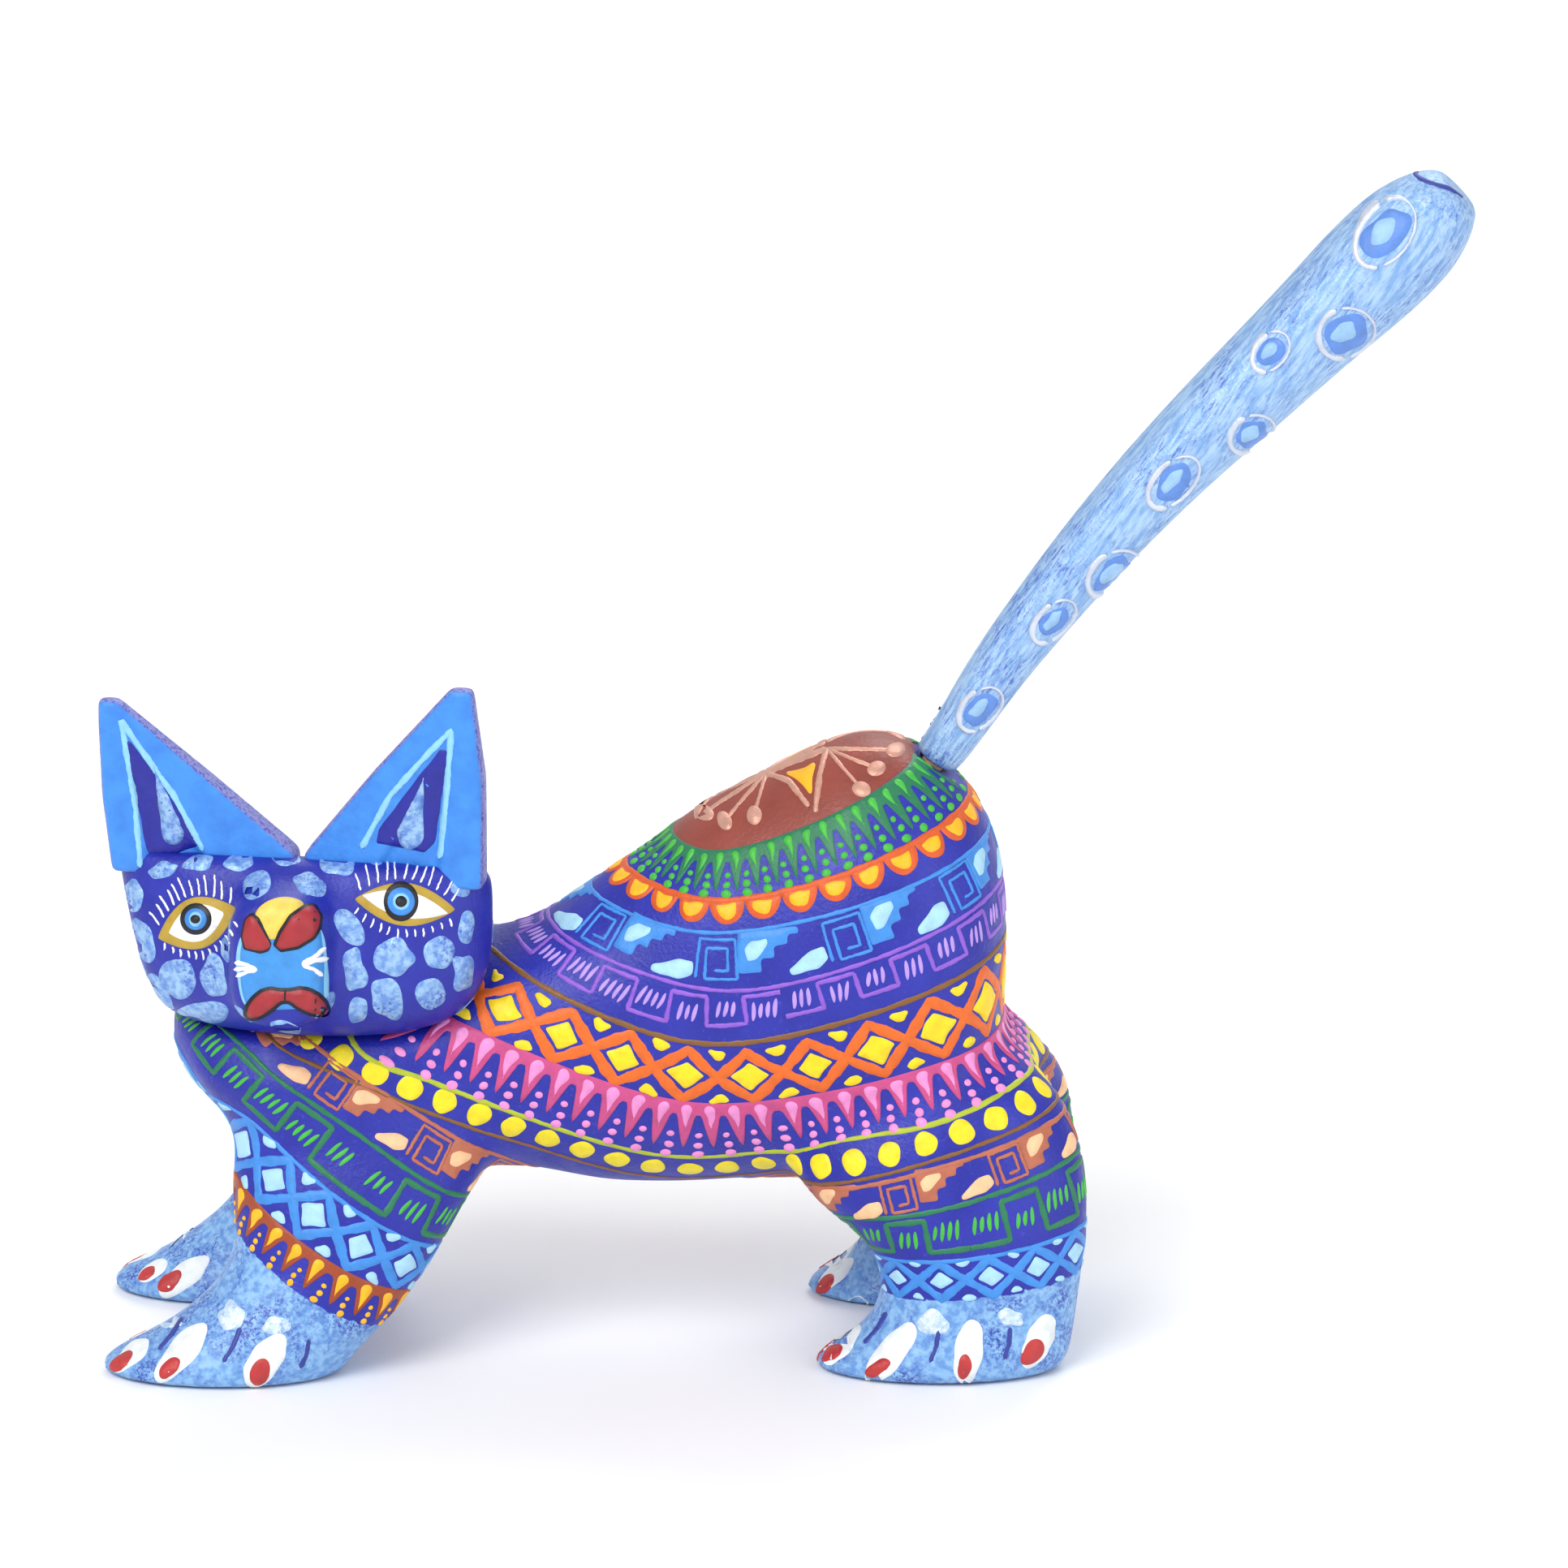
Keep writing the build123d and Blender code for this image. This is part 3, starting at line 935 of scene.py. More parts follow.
# Edges of the bands seen from the side, each named after the band that ends there.
FRONT_LEG_X, REAR_LEG_X = -80.0, 30.0
EDGES = {
    "medallion": sag(-16, 92.3, 0.30, 0.55),
    "green": sag(-14, 85.3, 0.25, 0.43),
    "scallop": sag(-15, 80.0, 0.27, 0.36),
    "frets": sag(-11, 70.3, 0.36, 0.41),
    "purple": sag(-16, 61.8, 0.55, 0.35),
    "olive": sag(-11, 59.0, 0.40, 0.40),
    "lattice": sag(-13, 48.6, 0.45, 0.30),
    "raspberry": sag(-16, 36.3, 0.48, 0.33),
    "balls": sag(-16, 30.5, 0.48, 0.33),
    "front_top": cross_leg(FRONT_LEG_X, 58.1, -0.69),
    "front_frets": cross_leg(FRONT_LEG_X, 48.6, -0.70),
    "front_meander": cross_leg(FRONT_LEG_X, 34.9, -0.72, 0.004),
    "front_lattice": cross_leg(FRONT_LEG_X, 23.1, -0.62, 0.006),
    "front_fringe": cross_leg(FRONT_LEG_X, 14.1, -0.58, 0.006),
    "rear_top": cross_leg(REAR_LEG_X, 40.3, 0.29),
    "rear_frets": cross_leg(REAR_LEG_X, 33.0, 0.26, 0.002),
    "rear_meander": cross_leg(REAR_LEG_X, 22.6, 0.13, 0.0015),
    "rear_lattice": cross_leg(REAR_LEG_X, 15.3, 0.10, 0.001),
}


class Palette:
    """The coats of paint on one carved piece, made as they are first used."""

    def __init__(self, piece, field, rides, slot, keep=None):
        self.piece, self.field, self.rides, self.slot, self.keep = piece, field, rides, slot, keep
        self.coats = {}

    def __call__(self, name, level=1):
        key = f"{self.piece}_{name}_{level}"
        if key not in self.coats:
            self.coats[key] = Coat(key, paints[name], level)
        return self.coats[key]

    def finish(self):
        for coat in self.coats.values():
            if self.keep is not None:
                coat.trim(self.keep)
            coat.finish(self.field, self.rides, self.slot)


paints = {
    name: brushed_paint(f"{name}_coat", colour(*rgb), metallic=METALLIC.get(name, 0.0))
    for name, rgb in PAINT.items()
}
# Pale sponged paint for the painted highlights on the paws' insteps.
paints["painted_highlight"] = sponged_paint(
    "painted_highlight_coat", colour(226, 238, 248), colour(182, 208, 236), colour(122, 160, 214)
)
paints["patch"] = sponged_paint(
    "patch_coat", colour(158, 196, 232), colour(108, 150, 216), colour(64, 90, 190), metallic=0.4
)


UNPAINTED_RADIUS, UNPAINTED_REACH = 5.5, 8.0


def far_from_tail(points):
    """True for points clear of the round seat the tail stands on."""
    along, radius = seat_coordinates(points[:, 0], points[:, 1], points[:, 2])
    return (radius > UNPAINTED_RADIUS) | (np.abs(along) > UNPAINTED_REACH)


def paint_trunk(coats):
    """The bands round the trunk, from the back down to the belly."""
    band = Band(body, EDGES["medallion"], EDGES["green"], 0.0)
    fringe(band, coats("dark_green"), coats("bright_green", 2), coats("bright_green", 2), 3.5)
    band = Band(body, EDGES["green"], EDGES["scallop"], 0.0)
    scallops(band, coats("orange_red"), coats("amber", 2), 6.5, 4.3)
    band = Band(body, EDGES["scallop"], EDGES["frets"], 0.0)
    band.line(coats("sky_blue"), 0.92, 0.8)
    steps_and_spirals(band, coats("sky_blue"), coats("pale_blue", 2), 22.4, 1.05)
    band = Band(body, EDGES["frets"], EDGES["purple"], 0.0)
    band.line(coats("purple"), 0.92, 0.8)
    meander(band, coats("purple"), coats("lilac"), 6.7)
    band = Band(body, EDGES["purple"], EDGES["olive"], 0.0)
    band.line(coats("olive"), -0.2, 1.1)
    band = Band(body, EDGES["olive"], EDGES["lattice"], 0.0)
    lattice(band, coats("orange"), coats("yellow", 2), 11.2)
    band = Band(body, EDGES["lattice"], EDGES["raspberry"], 0.0)
    fringe(band, coats("raspberry"), coats("pink", 2), coats("pink", 2), 4.8, 0.55, -0.6, (6.0, 2.7), 1.8)
    band.line(coats("lime_line"), -1.0, 1.1)
    band = Band(body, EDGES["raspberry"], EDGES["balls"], 0.0)
    balls(band, coats)


def balls(band, coats):
    """A row of round dots over a thin line."""
    spots, _ = band.spots(6.6)
    dots = np.stack([spots, band.v(spots, 0.05)], 1)
    stamp(coats("lemon"), band.place, Dab(oval(4.9, 4.7), 0.5), dots)
    band.line(coats("olive"), -1.05, 0.8)


LEG_BAND_WIDEST = 6.5
FAR_LEG_Y = 8.0


def round_legs(top, bottom, start):
    """One band round both legs where they are joined, or else a band for each leg."""
    near = Band(body, top, bottom, start, -1, LEG_BAND_WIDEST)
    if near.points[:, 1].max() > FAR_LEG_Y:
        return [near]
    return [near, Band(body, top, bottom, start, 1, LEG_BAND_WIDEST)]


def paint_legs(coats):
    """The bands round the front legs and chest, and round the hind legs."""
    green, bright = coats("dark_green"), coats("bright_green")
    blue, pale = coats("sky_blue"), coats("pale_blue", 2)
    clay, tan = coats("sienna"), coats("tan", 2)
    for band in round_legs(EDGES["front_top"], EDGES["front_frets"], -70.0):
        band.line(clay, 0.9, 0.9)
        steps_and_spirals(band, clay, tan, 20.0, 0.95)
    for band in round_legs(EDGES["front_frets"], EDGES["front_meander"], -74.0):
        band.line(green, 0.9, 1.0)
        meander(band, green, bright, 7.8, 0.62, 1.2, (4.2, 0.95))
    for band in round_legs(EDGES["front_meander"], EDGES["front_lattice"], -78.0):
        band.line(blue, 1.0, 0.9)
        lattice(band, blue, pale, 9.4, 1.9)
    for band in round_legs(EDGES["front_lattice"], EDGES["front_fringe"], -80.0):
        amber = coats("amber", 2)
        fringe(band, coats("rust"), amber, amber, 4.8, 0.45, -0.75, (5.2, 2.5), 1.3)
    for band in round_legs(EDGES["rear_top"], EDGES["rear_frets"], 30.0):
        band.line(clay, 0.9, 0.9)
        steps_and_spirals(band, clay, tan, 19.0, 0.86)
    for band in round_legs(EDGES["rear_frets"], EDGES["rear_meander"], 32.0):
        band.line(green, 0.9, 1.0)
        meander(band, green, bright, 7.2, 0.62, 1.2, (3.8, 0.95))
    for band in round_legs(EDGES["rear_meander"], EDGES["rear_lattice"], 32.0):
        band.line(blue, 1.0, 0.9)
        lattice(band, blue, pale, 8.4, 1.7)


# ---------------------------------------------------------------- marks seen from the front

# The camera looks down by VIEW_TILT at VIEW_AIM; FACE is the nose, across and up from there.
VIEW_TILT = math.radians(17.0)
VIEW_AIM = np.array([0.1, 0.0, 100.4])
FACE = (-88.0, -23.3)


def lift_from(field, points, heights):
    """Points raised from the surface they were cast on; the ones that missed it are left out."""
    lifted = points + np.asarray(heights)[..., None] * field.normal(points)
    lifted[field.sample(points) > 0.6] = np.nan
    return lifted


def seen(field, side=-1, origin=(0.0, 0.0)):
    """Drawing coordinates across and up as seen from one side and a little above.

    Side -1 is the near side and 1 is the far side, where the same marks come out mirrored.
    """
    ahead = np.array([0.0, -side * math.cos(VIEW_TILT), -math.sin(VIEW_TILT)])
    above = np.array([0.0, -side * math.sin(VIEW_TILT), math.cos(VIEW_TILT)])

    def place(u, v, heights):
        across = np.array([1.0, 0.0, 0.0]) * (np.asarray(u) + origin[0])[:, None]
        points = VIEW_AIM + across + above * (np.asarray(v) + origin[1])[:, None] - 90 * ahead
        return lift_from(field, field.cast(points, ahead, 60), heights)

    return place


def draw(coat, place, outline, spacing=0.5, wobble=0.05):
    """One filled shape."""
    outline = np.array(outline, float)
    middle = (outline.min(0) + outline.max(0)) / 2
    stamp(coat, place, Dab(outline - middle, spacing), [middle], wobble=wobble)


def rounded(outline, rounds=2):
    """An outline with its corners cut until they are soft."""
    outline = np.array(outline, float)
    for _ in range(rounds):
        after = np.roll(outline, -1, 0)
        outline = np.stack([0.75 * outline + 0.25 * after, 0.25 * outline + 0.75 * after], 1).reshape(-1, 2)
    return outline


def blob(wide, high, count=22):
    """A hand-dabbed round patch with an uneven outline."""
    angle = np.linspace(0, 2 * math.pi, count, endpoint=False)
    waves = sum(rng.normal(0, 0.055) * np.cos(k * angle + rng.uniform(0, 6.3)) for k in (2, 3, 4, 5))
    reach = 1 + waves
    return np.stack([wide / 2 * reach * np.cos(angle), high / 2 * reach * np.sin(angle)], 1)


def almond(wide, high, count=14):
    """An eye's outline, pointed at both ends."""
    t = np.linspace(-1, 1, count)
    arch = high / 2 * (1 - np.abs(t) ** 1.9)
    upper = np.stack([t * wide / 2, arch], 1)
    lower = np.stack([t[::-1] * wide / 2, -arch[::-1]], 1)
    return np.vstack([upper, lower[1:-1]])


def turned(points, degrees, centre):
    """Points turned and then moved to a centre."""
    cos, sin = math.cos(math.radians(degrees)), math.sin(math.radians(degrees))
    points = np.asarray(points, float)
    return points @ np.array([[cos, sin], [-sin, cos]]) + centre


def paint_eye(coats, place, centre, wide, high, tilt, iris, radius):
    """One eye: an ochre almond, the white, the ringed iris, and lashes above and below."""
    draw(coats("ochre", 1), place, turned(almond(wide, high), tilt, centre), 0.5, 0.0)
    draw(coats("white", 2), place, turned(almond(wide - 3.4, high - 2.2), tilt, centre), 0.45, 0.0)
    rings = ((1.0, "black", 3), (0.74, "sky_blue", 4), (0.50, "outline_blue", 5), (0.36, "black", 6))
    for share, name, level in rings:
        ring = oval(2 * radius * share, 2 * radius * share * 0.97, 26)
        draw(coats(name, level), place, ring + np.array(iris), 0.35, 0.0)
    for i, t in enumerate(np.linspace(-0.86, 0.86, 12)):
        start = np.array([t * wide / 2, high / 2 * (1 - abs(t) ** 1.9)])
        fan = math.radians(90 - 26 * t + rng.normal(0, 4))
        reach = rng.uniform(2.6, 4.0)
        for sign, length in ((1, reach), (-1, reach * 0.45)):
            flip = np.array([1, sign])
            root = start * flip + np.array([0, 0.5 * sign])
            tip = root + length * np.array([math.cos(fan), math.sin(fan)]) * flip
            path = turned([root, (root + tip) / 2 + (0.12, 0), tip], tilt, centre)
            stroke(coats("white", 1), place, path, 0.38, 0.3)


# Patches on the face: across, up, width, height and tilt, from the point of the nose.
FACE_PATCHES = [
    (-20.2, 8.3, 5.2, 2.6, 20), (-13.9, 9.6, 5.0, 2.6, 10), (-6.8, 9.7, 5.2, 3.0, 0),
    (1.4, 10.4, 5.2, 2.8, 0), (10.4, 9.5, 6.0, 4.0, 0), (17.2, 10.4, 4.2, 2.1, 0),
    (24.3, 10.0, 4.2, 2.1, 0), (-25.6, 3.8, 3.6, 5.6, 0), (-3.6, 5.8, 5.2, 4.8, 20),
    (5.8, 5.9, 6.0, 3.6, -10), (32.0, 5.4, 3.4, 3.6, 0), (-23.8, -4.0, 3.6, 7.6, 15),
    (-17.6, -10.6, 6.0, 6.8, 0), (-11.2, -10.2, 4.2, 7.6, 8), (12.6, -1.6, 3.8, 6.4, 30),
    (32.8, -1.6, 2.8, 6.4, 0), (13.4, -9.0, 4.0, 7.4, 0), (20.2, -6.8, 6.6, 6.6, 0),
    (28.1, -6.0, 5.0, 6.4, -20), (19.1, -14.0, 5.6, 6.8, 10), (26.5, -13.2, 4.8, 5.6, 0),
    (32.2, -9.5, 3.8, 6.0, 0), (-12.8, -16.4, 8.0, 3.8, -5), (-21.6, -13.4, 4.8, 6.6, 30),
    (1.4, -19.0, 5.0, 2.4, -20), (13.9, -16.0, 3.2, 5.0, -15), (-9.0, -5.4, 1.9, 4.2, 0),
]
NOSE = [(-4.1, 0.3), (-2.4, 2.6), (0.7, 3.6), (4.0, 3.2), (5.6, 2.0), (2.6, 0.2), (-0.4, -4.7)]
NOSTRILS = [
    [
        (-5.2, 0.0), (-4.2, 0.9), (-3.0, 0.2), (-0.6, -4.4), (-1.0, -5.4), (-2.4, -5.9),
        (-5.4, -5.3), (-5.9, -3.0),
    ],
    [
        (-0.1, -4.6), (0.8, -2.4), (2.6, 0.4), (5.2, 2.2), (6.4, 2.2), (7.6, 0.4), (7.4, -1.6),
        (6.6, -3.2), (4.0, -4.9), (1.0, -5.5),
    ],
]
MOUTH = [
    (-5.2, -17.0), (-4.4, -14.2), (-1.6, -11.7), (1.8, -12.4), (4.8, -11.7), (7.6, -13.6),
    (8.6, -16.6), (6.6, -16.9), (4.2, -16.0), (1.6, -13.9), (-0.8, -16.0), (-3.1, -17.4),
]
SNOUT = [
    (-5.4, -1.0), (-7.2, -5.0), (-7.2, -12.0), (-5.8, -16.2), (-2.0, -16.0), (5.0, -16.0),
    (8.9, -16.2), (9.2, -11.0), (9.2, -4.0), (7.8, 0.0), (2.0, -2.0),
]
WHISKERS = [
    [(-3.2, -8.8), (-5.2, -7.9), (-7.0, -7.6)], [(-3.2, -8.8), (-5.0, -9.2), (-6.8, -10.0)],
    [(-3.4, -8.8), (-5.4, -8.6), (-7.2, -8.8)], [(4.6, -7.8), (6.6, -6.6), (8.4, -5.0)],
    [(4.6, -7.9), (6.8, -7.2), (8.8, -6.9)], [(4.6, -8.0), (6.4, -8.6), (7.9, -9.9)],
]


def shrunk(outline, amount):
    """An outline drawn in by a distance."""
    outline = np.array(outline, float)
    if np.sum(outline[:, 0] * np.roll(outline[:, 1], -1) - outline[:, 1] * np.roll(outline[:, 0], -1)) < 0:
        outline = outline[::-1]
    along = unit(np.roll(outline, -1, 0) - np.roll(outline, 1, 0))
    return outline + amount * np.stack([-along[:, 1], along[:, 0]], 1)


def paint_face(coats):
    """Eyes, nose, mouth and patches on the front of the head."""
    place = seen(head, origin=FACE)
    paint_eye(coats, place, (-14.1, -0.9), 15.2, 8.6, 17.0, (-14.2, -0.2), 2.95)
    paint_eye(coats, place, (22.2, 2.4), 18.4, 7.6, -7.0, (21.5, 2.9), 3.5)
    for x, z, wide, high, tilt in FACE_PATCHES:
        draw(coats("patch"), place, turned(blob(wide * 1.08, high * 1.08), tilt, (x, z)), 0.45)
    snout = rounded(SNOUT)
    draw(coats("outline_blue", 1), place, snout, 0.5)
    draw(coats("snout", 2), place, shrunk(snout, 0.45), 0.5)
    draw(coats("nose", 3), place, rounded(NOSE, 1), 0.45)
    for outline in (*NOSTRILS, MOUTH):
        soft = rounded(outline, 1) if outline is MOUTH else outline
        draw(coats("black", 4), place, shrunk(soft, -0.5), 0.4, 0.0)
        draw(coats("red", 5), place, shrunk(soft, 0.12), 0.4, 0.0)
    stroke(coats("black", 6), place, [(1.7, -12.4), (1.6, -13.2), (1.6, -14.2)], 0.35, 0.3)
    for path in WHISKERS:
        stroke(coats("white", 3), place, path, 1.0, 0.35)


HEAD_DAB_TRIES, HEAD_DAB_SPACING, HEAD_DAB_EAR_GAP = 900, 6.6, 2.5


def paint_head_sides(coats):
    """The same patches over the sides, top and back of the head."""
    draws = np.random.default_rng(21)
    centre = HEAD_AXIS + 77 * UP
    kept = []
    for _ in range(HEAD_DAB_TRIES):
        ray = unit(draws.normal(size=3))
        point = head.cast(centre + 60 * ray, -ray, 50)
        normal = head.normal(point)
        facing = normal @ -np.array([0.0, math.cos(VIEW_TILT), -math.sin(VIEW_TILT)])
        local = (point - HEAD_AXIS) @ HEAD_FORWARD
        on_face = facing > 0.25 and local > 2
        under_ear = min(ear.sample(point) for ear in EARS) < HEAD_DAB_EAR_GAP
        if on_face or normal[2] < -0.75 or under_ear:
            continue
        if any(np.linalg.norm(point - other) < HEAD_DAB_SPACING for other in kept):
            continue
        kept.append(point)
        coat_patch(coats("patch"), head, point, normal, draws.uniform(4.2, 5.6), draws.uniform(4.6, 6.2))


def coat_patch(coat, field, point, normal, wide, high):
    """A round patch square to the surface at a point."""
    hint = UP if abs(normal[2]) < 0.9 else HEAD_FORWARD
    up = unit(hint - (hint @ normal) * normal)
    across = np.cross(up, normal)

    def place(u, v, heights):
        points = point + np.asarray(u)[:, None] * across + np.asarray(v)[:, None] * up
        return field.drop(points, heights)[0]

    draw(coat, place, blob(wide, high), 0.45)


EARS = [left_ear, right_ear]
EAR_PAINT = [
    (
        right_ear,
        "right_ear",
        [(-27.0, 34.0), (-24.6, 21.0), (-23.3, 9.2), (-18.0, 11.4), (-13.6, 12.6), (-19.0, 22.0)],
        [(-24.2, 8.8), (-25.0, 20.0), (-27.3, 34.4), (-24.6, 30.4), (-18.0, 21.0), (-13.2, 11.8)],
        (-19.8, 19.9, 15.0, 4.3, 13.0),
    ),
    (
        left_ear,
        "left_ear",
        [(30.3, 32.6), (22.4, 22.0), (15.9, 12.6), (21.0, 12.0), (27.4, 10.6), (28.6, 20.0)],
        [(14.6, 12.2), (19.6, 21.2), (25.4, 27.6), (30.4, 32.6), (29.4, 21.0), (28.2, 10.4)],
        (24.1, 18.4, 12.6, 5.2, -12.0),
    ),
]


def paint_ears():
    """A dark hollow with a pale outline and one long metallic drop in each ear."""
    for field, name, hollow, outline, drop in EAR_PAINT:
        coats = Palette(name, field, "figure", "ear_paint")
        place = seen(field, origin=FACE)
        draw(coats("deep_blue", 1), place, rounded(hollow, 1), 0.5)
        stroke(coats("outline_blue", 2), place, outline, 1.15, 0.4)
        x, z, long, wide, tilt = drop
        tear = teardrop(long, wide) * (1, -1)
        draw(coats("patch", 3), place, turned(tear, tilt, (x, z)), 0.4)
        coats.finish()


# Toes: across, up, length, width and tilt of the white part, then of the claw.
TOES = [
    (-113.8, -99.6, 7.0, 3.6, -52, -116.6, -101.6, 5.2, 2.9, -55),
    (-104.7, -98.4, 11.0, 5.0, -35, -108.0, -103.0, 5.4, 3.4, -48),
    (-90.3, -100.0, 9.6, 6.0, -28, -91.8, -103.4, 5.4, 4.0, -25),
    (10.8, -97.6, 7.4, 3.6, -45, 7.9, -100.4, 5.0, 2.8, -58),
    (19.4, -98.8, 10.4, 4.8, -35, 15.7, -103.0, 5.4, 3.2, -62),
    (32.5, -98.4, 9.0, 5.4, -8, 31.3, -102.6, 5.2, 3.2, -6),
    (45.0, -96.8, 9.0, 4.8, -22, 43.1, -100.0, 5.8, 4.0, -28),
]
INNER_TOES = [
    (-105.8, -87.2, 9.0, 4.4, -48, -110.0, -88.8, 5.4, 3.4, -52),
    (-112.0, -86.4, 5.0, 2.8, -58, -113.8, -87.4, 4.2, 2.4, -58),
    (9.8, -86.6, 7.0, 3.2, -50, 6.8, -89.6, 4.8, 2.8, -38),
]
# Painted highlights on the paws' insteps, as pale sponged patches: across, up, width and height.
INSTEP_HIGHLIGHTS = [
    (-96.6, -93.0, 5.4, 5.0), (-88.6, -94.6, 5.0, 3.4), (-108.0, -94.2, 5.4, 2.6),
    (26.0, -94.2, 5.8, 4.6), (39.6, -93.2, 5.0, 3.0), (13.0, -92.4, 4.0, 2.6),
]
# Painted shade in the creases between the toes, as dark strokes: start across and up, then end across and up.
CREASE_SHADES = [
    (-109.5, -99.0, -105.5, -93.5), (-98.0, -101.0, -95.0, -95.0), (-84.5, -102.0, -83.0, -97.0),
    (14.0, -98.0, 18.0, -92.5), (25.5, -101.0, 27.0, -95.5), (38.5, -100.5, 39.5, -95.0),
]


def paint_toes(coats):
    """White toes with red claws, painted shade in the creases between them and painted highlights on the
    insteps, on all four paws.
    """
    for side in (-1, 1):
        place = seen(body, side)
        for x, z, long, wide, tilt, *claw in TOES + INNER_TOES:
            claw_x, claw_z, claw_long, claw_wide, claw_tilt = claw
            middle = (x + 0.22 * (claw_x - x), z + 0.22 * (claw_z - z))
            draw(coats("toe_white", 1), place, turned(oval(long * 1.25, wide), tilt, middle), 0.45, 0.12)
            middle = (claw_x + 0.2 * (x - claw_x), claw_z + 0.2 * (z - claw_z))
            nail = turned(oval(claw_long, claw_wide * 0.88), claw_tilt, middle)
            draw(coats("claw", 2), place, nail, 0.4, 0.1)
        # Painted highlights on the insteps.
        for x, z, wide, high in INSTEP_HIGHLIGHTS:
            draw(coats("painted_highlight", 1), place, blob(wide, high) + (x, z), 0.45)
        # Painted shade in the creases between the toes.
        for x, z, to_x, to_z in CREASE_SHADES:
            middle = ((x + to_x) / 2 + 0.4, (z + to_z) / 2)
            stroke(coats("shade_and_streak", 1), place, [(x, z), middle, (to_x, to_z)], 0.9, 0.4)


def paint_medallion(coats):
    """The back's ornament: a kite between two fans of strokes that end in ovals."""
    kite = rounded([(-0.6, 2.0), (2.8, 2.6), (5.6, 4.8), (5.0, 1.0), (5.2, -2.6), (2.8, 0.4)], 1)
    fans = {
        (-3.2, 2.0): [(-14.0, -5.0, 62), (-10.4, -6.4, 35), (-5.2, -5.4, 5)],
        (7.4, 6.2): [(13.5, -0.9, 85), (16.1, 2.7, 95), (19.5, 6.0, 100)],
    }
    rays = [
        [(-3.2, 2.0), (0.8, 0.6), (4.4, -4.0)],
        [(7.4, 6.2), (6.2, 1.6), (5.4, -5.0)],
        [(-3.2, 2.0), (7.4, 6.2)],
    ]
    for side in (-1, 1):
        place = seen(body, side)
        draw(coats("gold_yellow", 1), place, kite, 0.45)
        for path in rays:
            stroke(coats("copper", 2), place, path, 1.1, 0.4)
        for centre, ends in fans.items():
            for x, z, tilt in ends:
                stroke(coats("copper", 1), place, [centre, (x, z)], 0.7, 0.4)
                draw(coats("copper", 2), place, turned(oval(3.8, 2.7), tilt, (x, z)), 0.4)


# Rings on the tail: place along it, shift across it, length, width.
TAIL_RINGS = [
    (0.10, -0.8, 9.4, 6.0), (0.25, -1.4, 9.6, 5.6), (0.345, 1.2, 10.4, 8.0), (0.49, -2.0, 11.4, 6.6),
    (0.60, 3.0, 8.4, 7.4), (0.70, -4.4, 8.0, 5.0), (0.78, 3.4, 10.0, 9.6), (0.91, -3.0, 13.0, 8.0),
]
TAIL_TIP = np.array([114.0, 0.0, 209.6])
TAIL_TOP = np.array([113.6, 0.0, 210.0])
# The dark stroke on the tail's top: a circle in steps, and the steps between which it runs.
RIM_RADIUS, RIM_STEPS, RIM_STROKE = 4.4, 40, (18, 36)


def paint_tail():
    """Pale rings with blue centres along the tail, and a dark stroke round part of its top."""
    coats = Palette("tail", tail, "tail", "tail_paint")
    run = TAIL_TIP - TAIL_SEAT
    along = unit(run)
    for side in (-1, 1):
        across = np.array([along[2], 0.0, -along[0]])
        for part, shift, long, wide in TAIL_RINGS:
            part = part if side < 0 else (part + 0.06) % 0.95

            def place(u, v, heights, part=part, shift=shift, across=across, side=side):
                spot = TAIL_SEAT + run * part + across * (np.asarray(u) + shift)[:, None]
                points = spot + along * np.asarray(v)[:, None] + np.array([0.0, side * 30.0, 0.0])
                return lift_from(tail, tail.cast(points, np.array([0.0, -side, 0.0]), 40), heights)

            draw(coats("tail_blue", 1), place, blob(wide * 0.74, long * 0.76), 0.45)
            draw(coats("tail_pale", 2), place, blob(wide * 0.42, long * 0.5) + (-wide * 0.07, 0), 0.45)
            for start, end, width in ((-3.6, -0.9, 1.15), (-0.7, 2.5, 0.55)):
                angle = np.linspace(start, end, 18)
                ring = np.stack([wide / 2 * np.cos(angle), long / 2 * np.sin(angle)], 1)
                stroke(coats("pearl", 3), place, ring, width, 0.4)
    angle = np.linspace(0, 2 * math.pi, RIM_STEPS, endpoint=False)
    rim = TAIL_TOP + RIM_RADIUS * np.stack([np.cos(angle), np.sin(angle), 0 * angle], 1)

    def on_top(u, v, heights):
        steps = np.arange(RIM_STEPS)
        points = np.stack([np.interp(u, steps, rim[:, i], period=RIM_STEPS) for i in range(3)], 1)
        points = points + np.asarray(v)[:, None] * unit(points - TAIL_TOP)
        return lift_from(tail, tail.cast(points + 12 * UP, -UP, 30), heights)

    arc = np.stack([np.linspace(*RIM_STROKE, RIM_STEPS), 0 * angle], 1)
    stroke(coats("shade_and_streak", 1), on_top, arc, 1.0, 0.45)
    coats.finish()


# ---------------------------------------------------------------- the finished pieces


def finish_piece(field, node, name, material, rides):
    """The carved object that stands for a CAD node."""
    made = field.mesh(name)
    made.data.materials.append(material)
    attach(made, rides)
    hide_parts(node)
    return made


def mark_front(made):
    """Marks an ear's flat front, which is a plainer blue than its edges and back."""
    front = smoothstep(vertex_values(made.data, "normal") @ HEAD_FORWARD, 0.5, 0.7)
    mark_vertices(made.data, "front", front)


def add_masks(made):
    """Marks which of the body's vertices are sponged or under the back's medallion."""
    x, _, z = vertex_values(made.data, "co").T / MM
    front = EDGES["front_fringe"](x)[0]
    rear = EDGES["rear_lattice"](x)[0]
    edge = np.where(x < -40, front, rear)
    low = smoothstep(edge - z, -0.5, 0.5)
    high = smoothstep(z - EDGES["medallion"](x)[0], -1.0, -0.3)
    mark_vertices(made.data, "sponge", low)
    mark_vertices(made.data, "medallion", high)


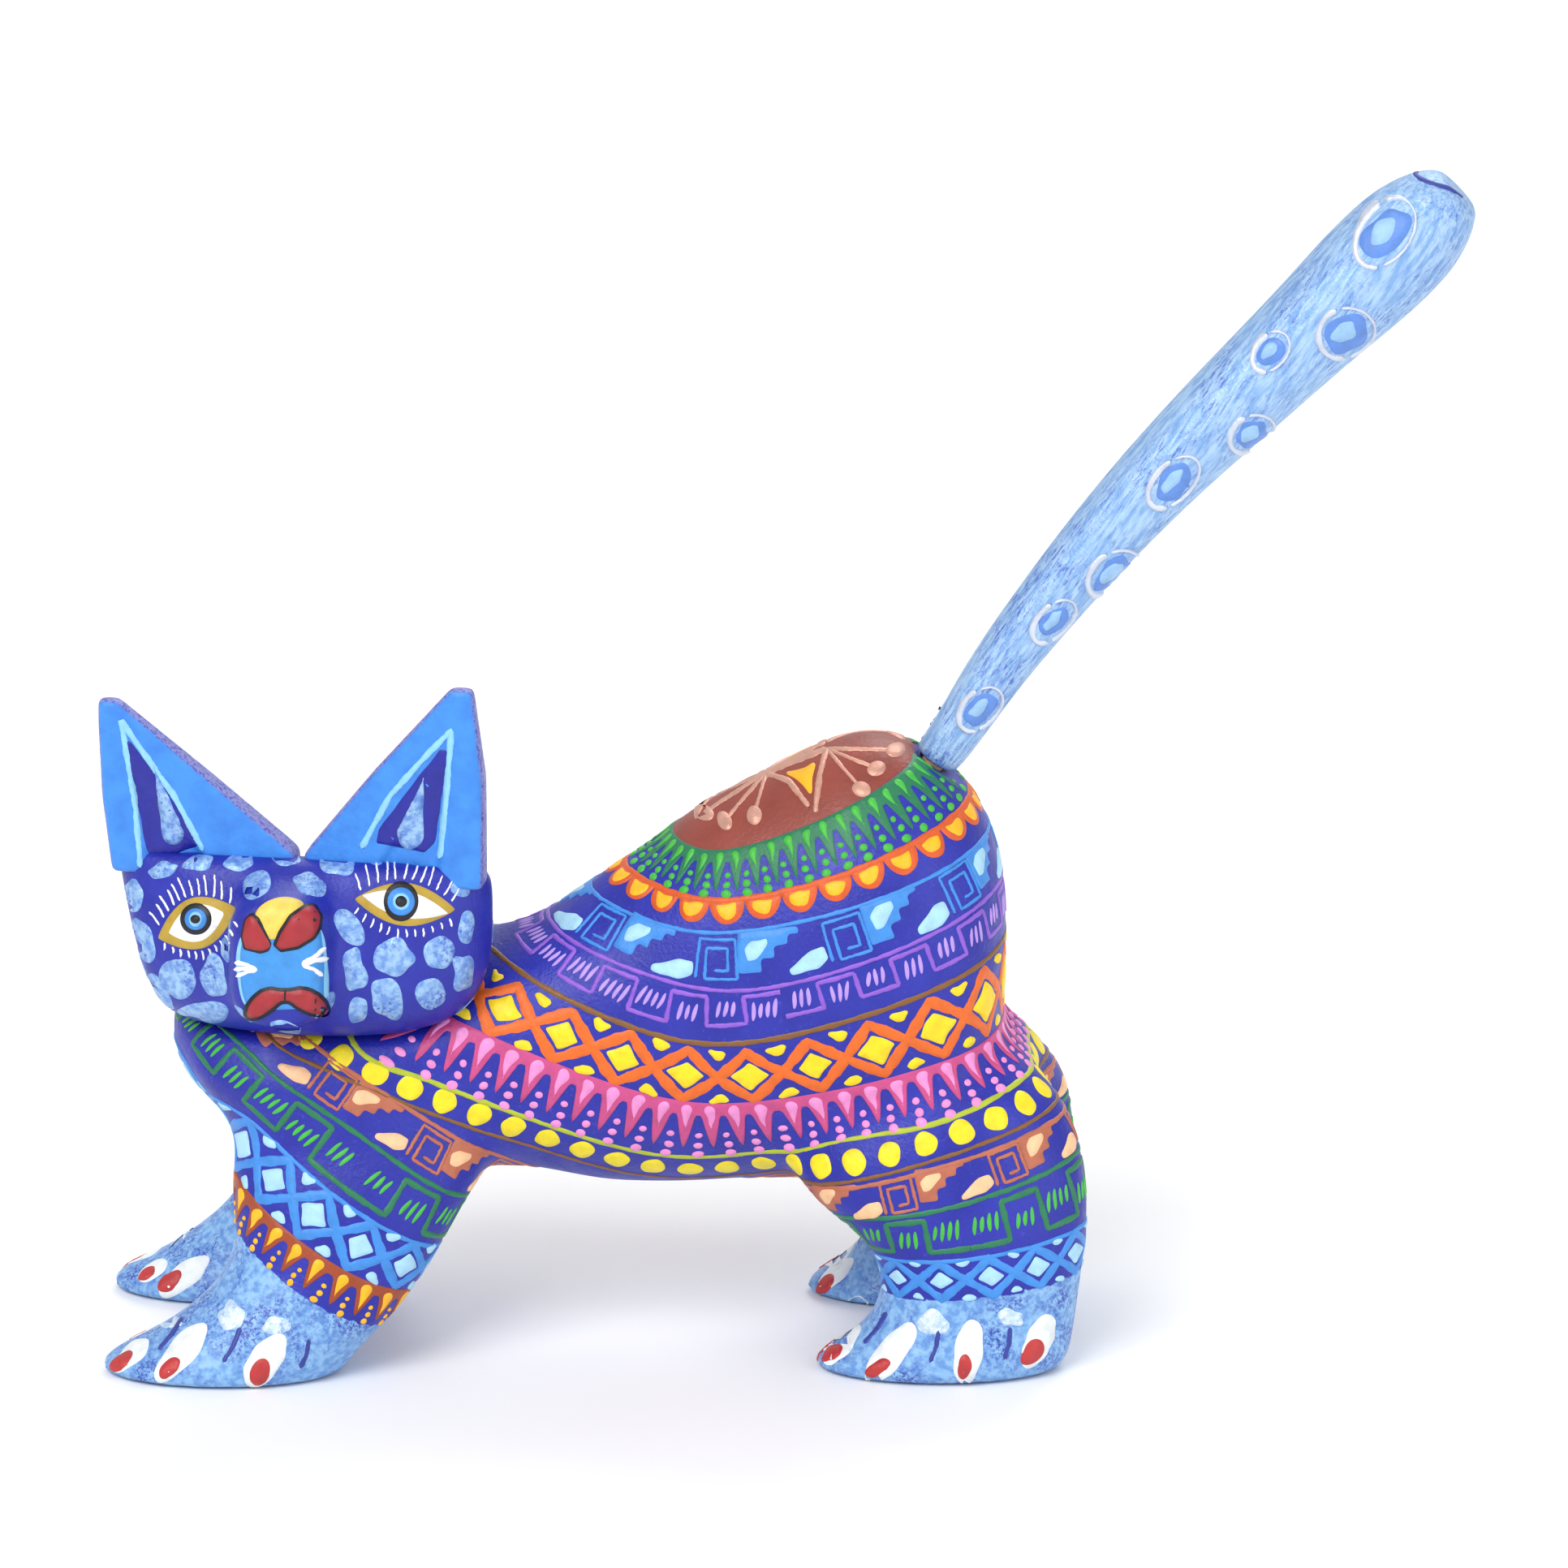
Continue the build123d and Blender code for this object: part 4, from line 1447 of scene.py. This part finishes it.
carved_body = finish_piece(body, "body", "carved_body", body_paint(), "figure")
add_masks(carved_body)
head_coat = brushed_paint("head_coat", colour(22, 32, 152), colour(34, 42, 166), 0.4, 0.0, 160.0)
carved_head = finish_piece(head, "head", "carved_head", head_coat, "figure")
ear_coat = ear_paint()
for ear, ear_name in ((left_ear, "left_ear"), (right_ear, "right_ear")):
    made_ear = finish_piece(ear, ear_name, f"carved_{ear_name}", ear_coat, "figure")
    mark_front(made_ear)
tail_coat = sponged_paint(
    "tail_coat",
    colour(168, 200, 232),
    colour(124, 166, 216),
    colour(70, 96, 186),
    grain=2600.0,
    stretch=(1, 1, 6),
    turn=(0, math.atan2(TAIL_AXIS[0], TAIL_AXIS[2]), 0),
)
finish_piece(tail, "tail", "carved_tail", tail_coat, "tail")

body_coats = Palette("body", body, "figure", "body_paint", far_from_tail)
paint_trunk(body_coats)
paint_legs(body_coats)
paint_medallion(body_coats)
paint_toes(body_coats)
body_coats.finish()
head_coats = Palette("head", head, "figure", "head_paint")
paint_face(head_coats)
paint_head_sides(head_coats)
head_coats.finish()
paint_ears()
paint_tail()

bare_wood = brushed_paint("bare_wood", colour(214, 178, 130), colour(186, 146, 98), 0.6)
for node in ("neck_dowel", "ear_dowels", "tail_dowel"):
    frame["nodes"][node].data.materials.clear()
    frame["nodes"][node].data.materials.append(bare_wood)


# ---------------------------------------------------------------- camera and light

CAMERA_DISTANCE = 2.5
CAMERA_LENS = 328.0


def add_camera():
    """The scene's camera."""
    data = bpy.data.cameras.new("camera")
    data.lens, data.sensor_width = CAMERA_LENS, 36.0
    made = link_new("camera", data)
    back = Vector((0.0, -math.cos(VIEW_TILT), math.sin(VIEW_TILT)))
    made.location = Vector(VIEW_AIM * MM) + back * CAMERA_DISTANCE
    made.rotation_euler = (-back).to_track_quat("-Z", "Y").to_euler()
    bpy.context.scene.camera = made


def add_light(name, place, size, power):
    """A square soft light that faces the figure."""
    data = bpy.data.lights.new(name, "AREA")
    data.size, data.energy = size, power
    made = link_new(name, data)
    made.location = place
    made.rotation_euler = (Vector((0, 0, 0.09)) - Vector(place)).to_track_quat("-Z", "Y").to_euler()


def add_floor():
    """A wide pale floor, a hair below the paws."""
    points = np.array([(-6, -6, 0), (6, -6, 0), (6, 6, 0), (-6, 6, 0)], float) / MM
    points[:, 2] = -0.2
    made = new_mesh("floor", points, [(0, 1, 2, 3)], smooth=False)
    material, tree, shader, spot = start_material("studio_floor")
    pale = mix(tree, noise(tree, spot, 6.0), colour(252, 252, 252), colour(247, 247, 247))
    tree.links.new(pale, shader.inputs["Base Color"])
    finish_surface(tree, shader, spot, 0.7, 0.05, 400.0)
    made.data.materials.append(material)


add_camera()
add_light("key", (-0.9, -1.5, 1.7), 1.3, 34.0)
add_light("fill", (1.5, -1.3, 0.9), 1.6, 12.0)
add_light("back", (0.4, 1.5, 1.5), 1.2, 14.0)
add_floor()
world = bpy.data.worlds.new("studio")
world.use_nodes = True
world.node_tree.nodes["Background"].inputs["Color"].default_value = (0.97, 0.98, 1.0, 1.0)
world.node_tree.nodes["Background"].inputs["Strength"].default_value = 0.66
bpy.context.scene.world = world
bpy.context.scene.view_settings.view_transform = "Standard"
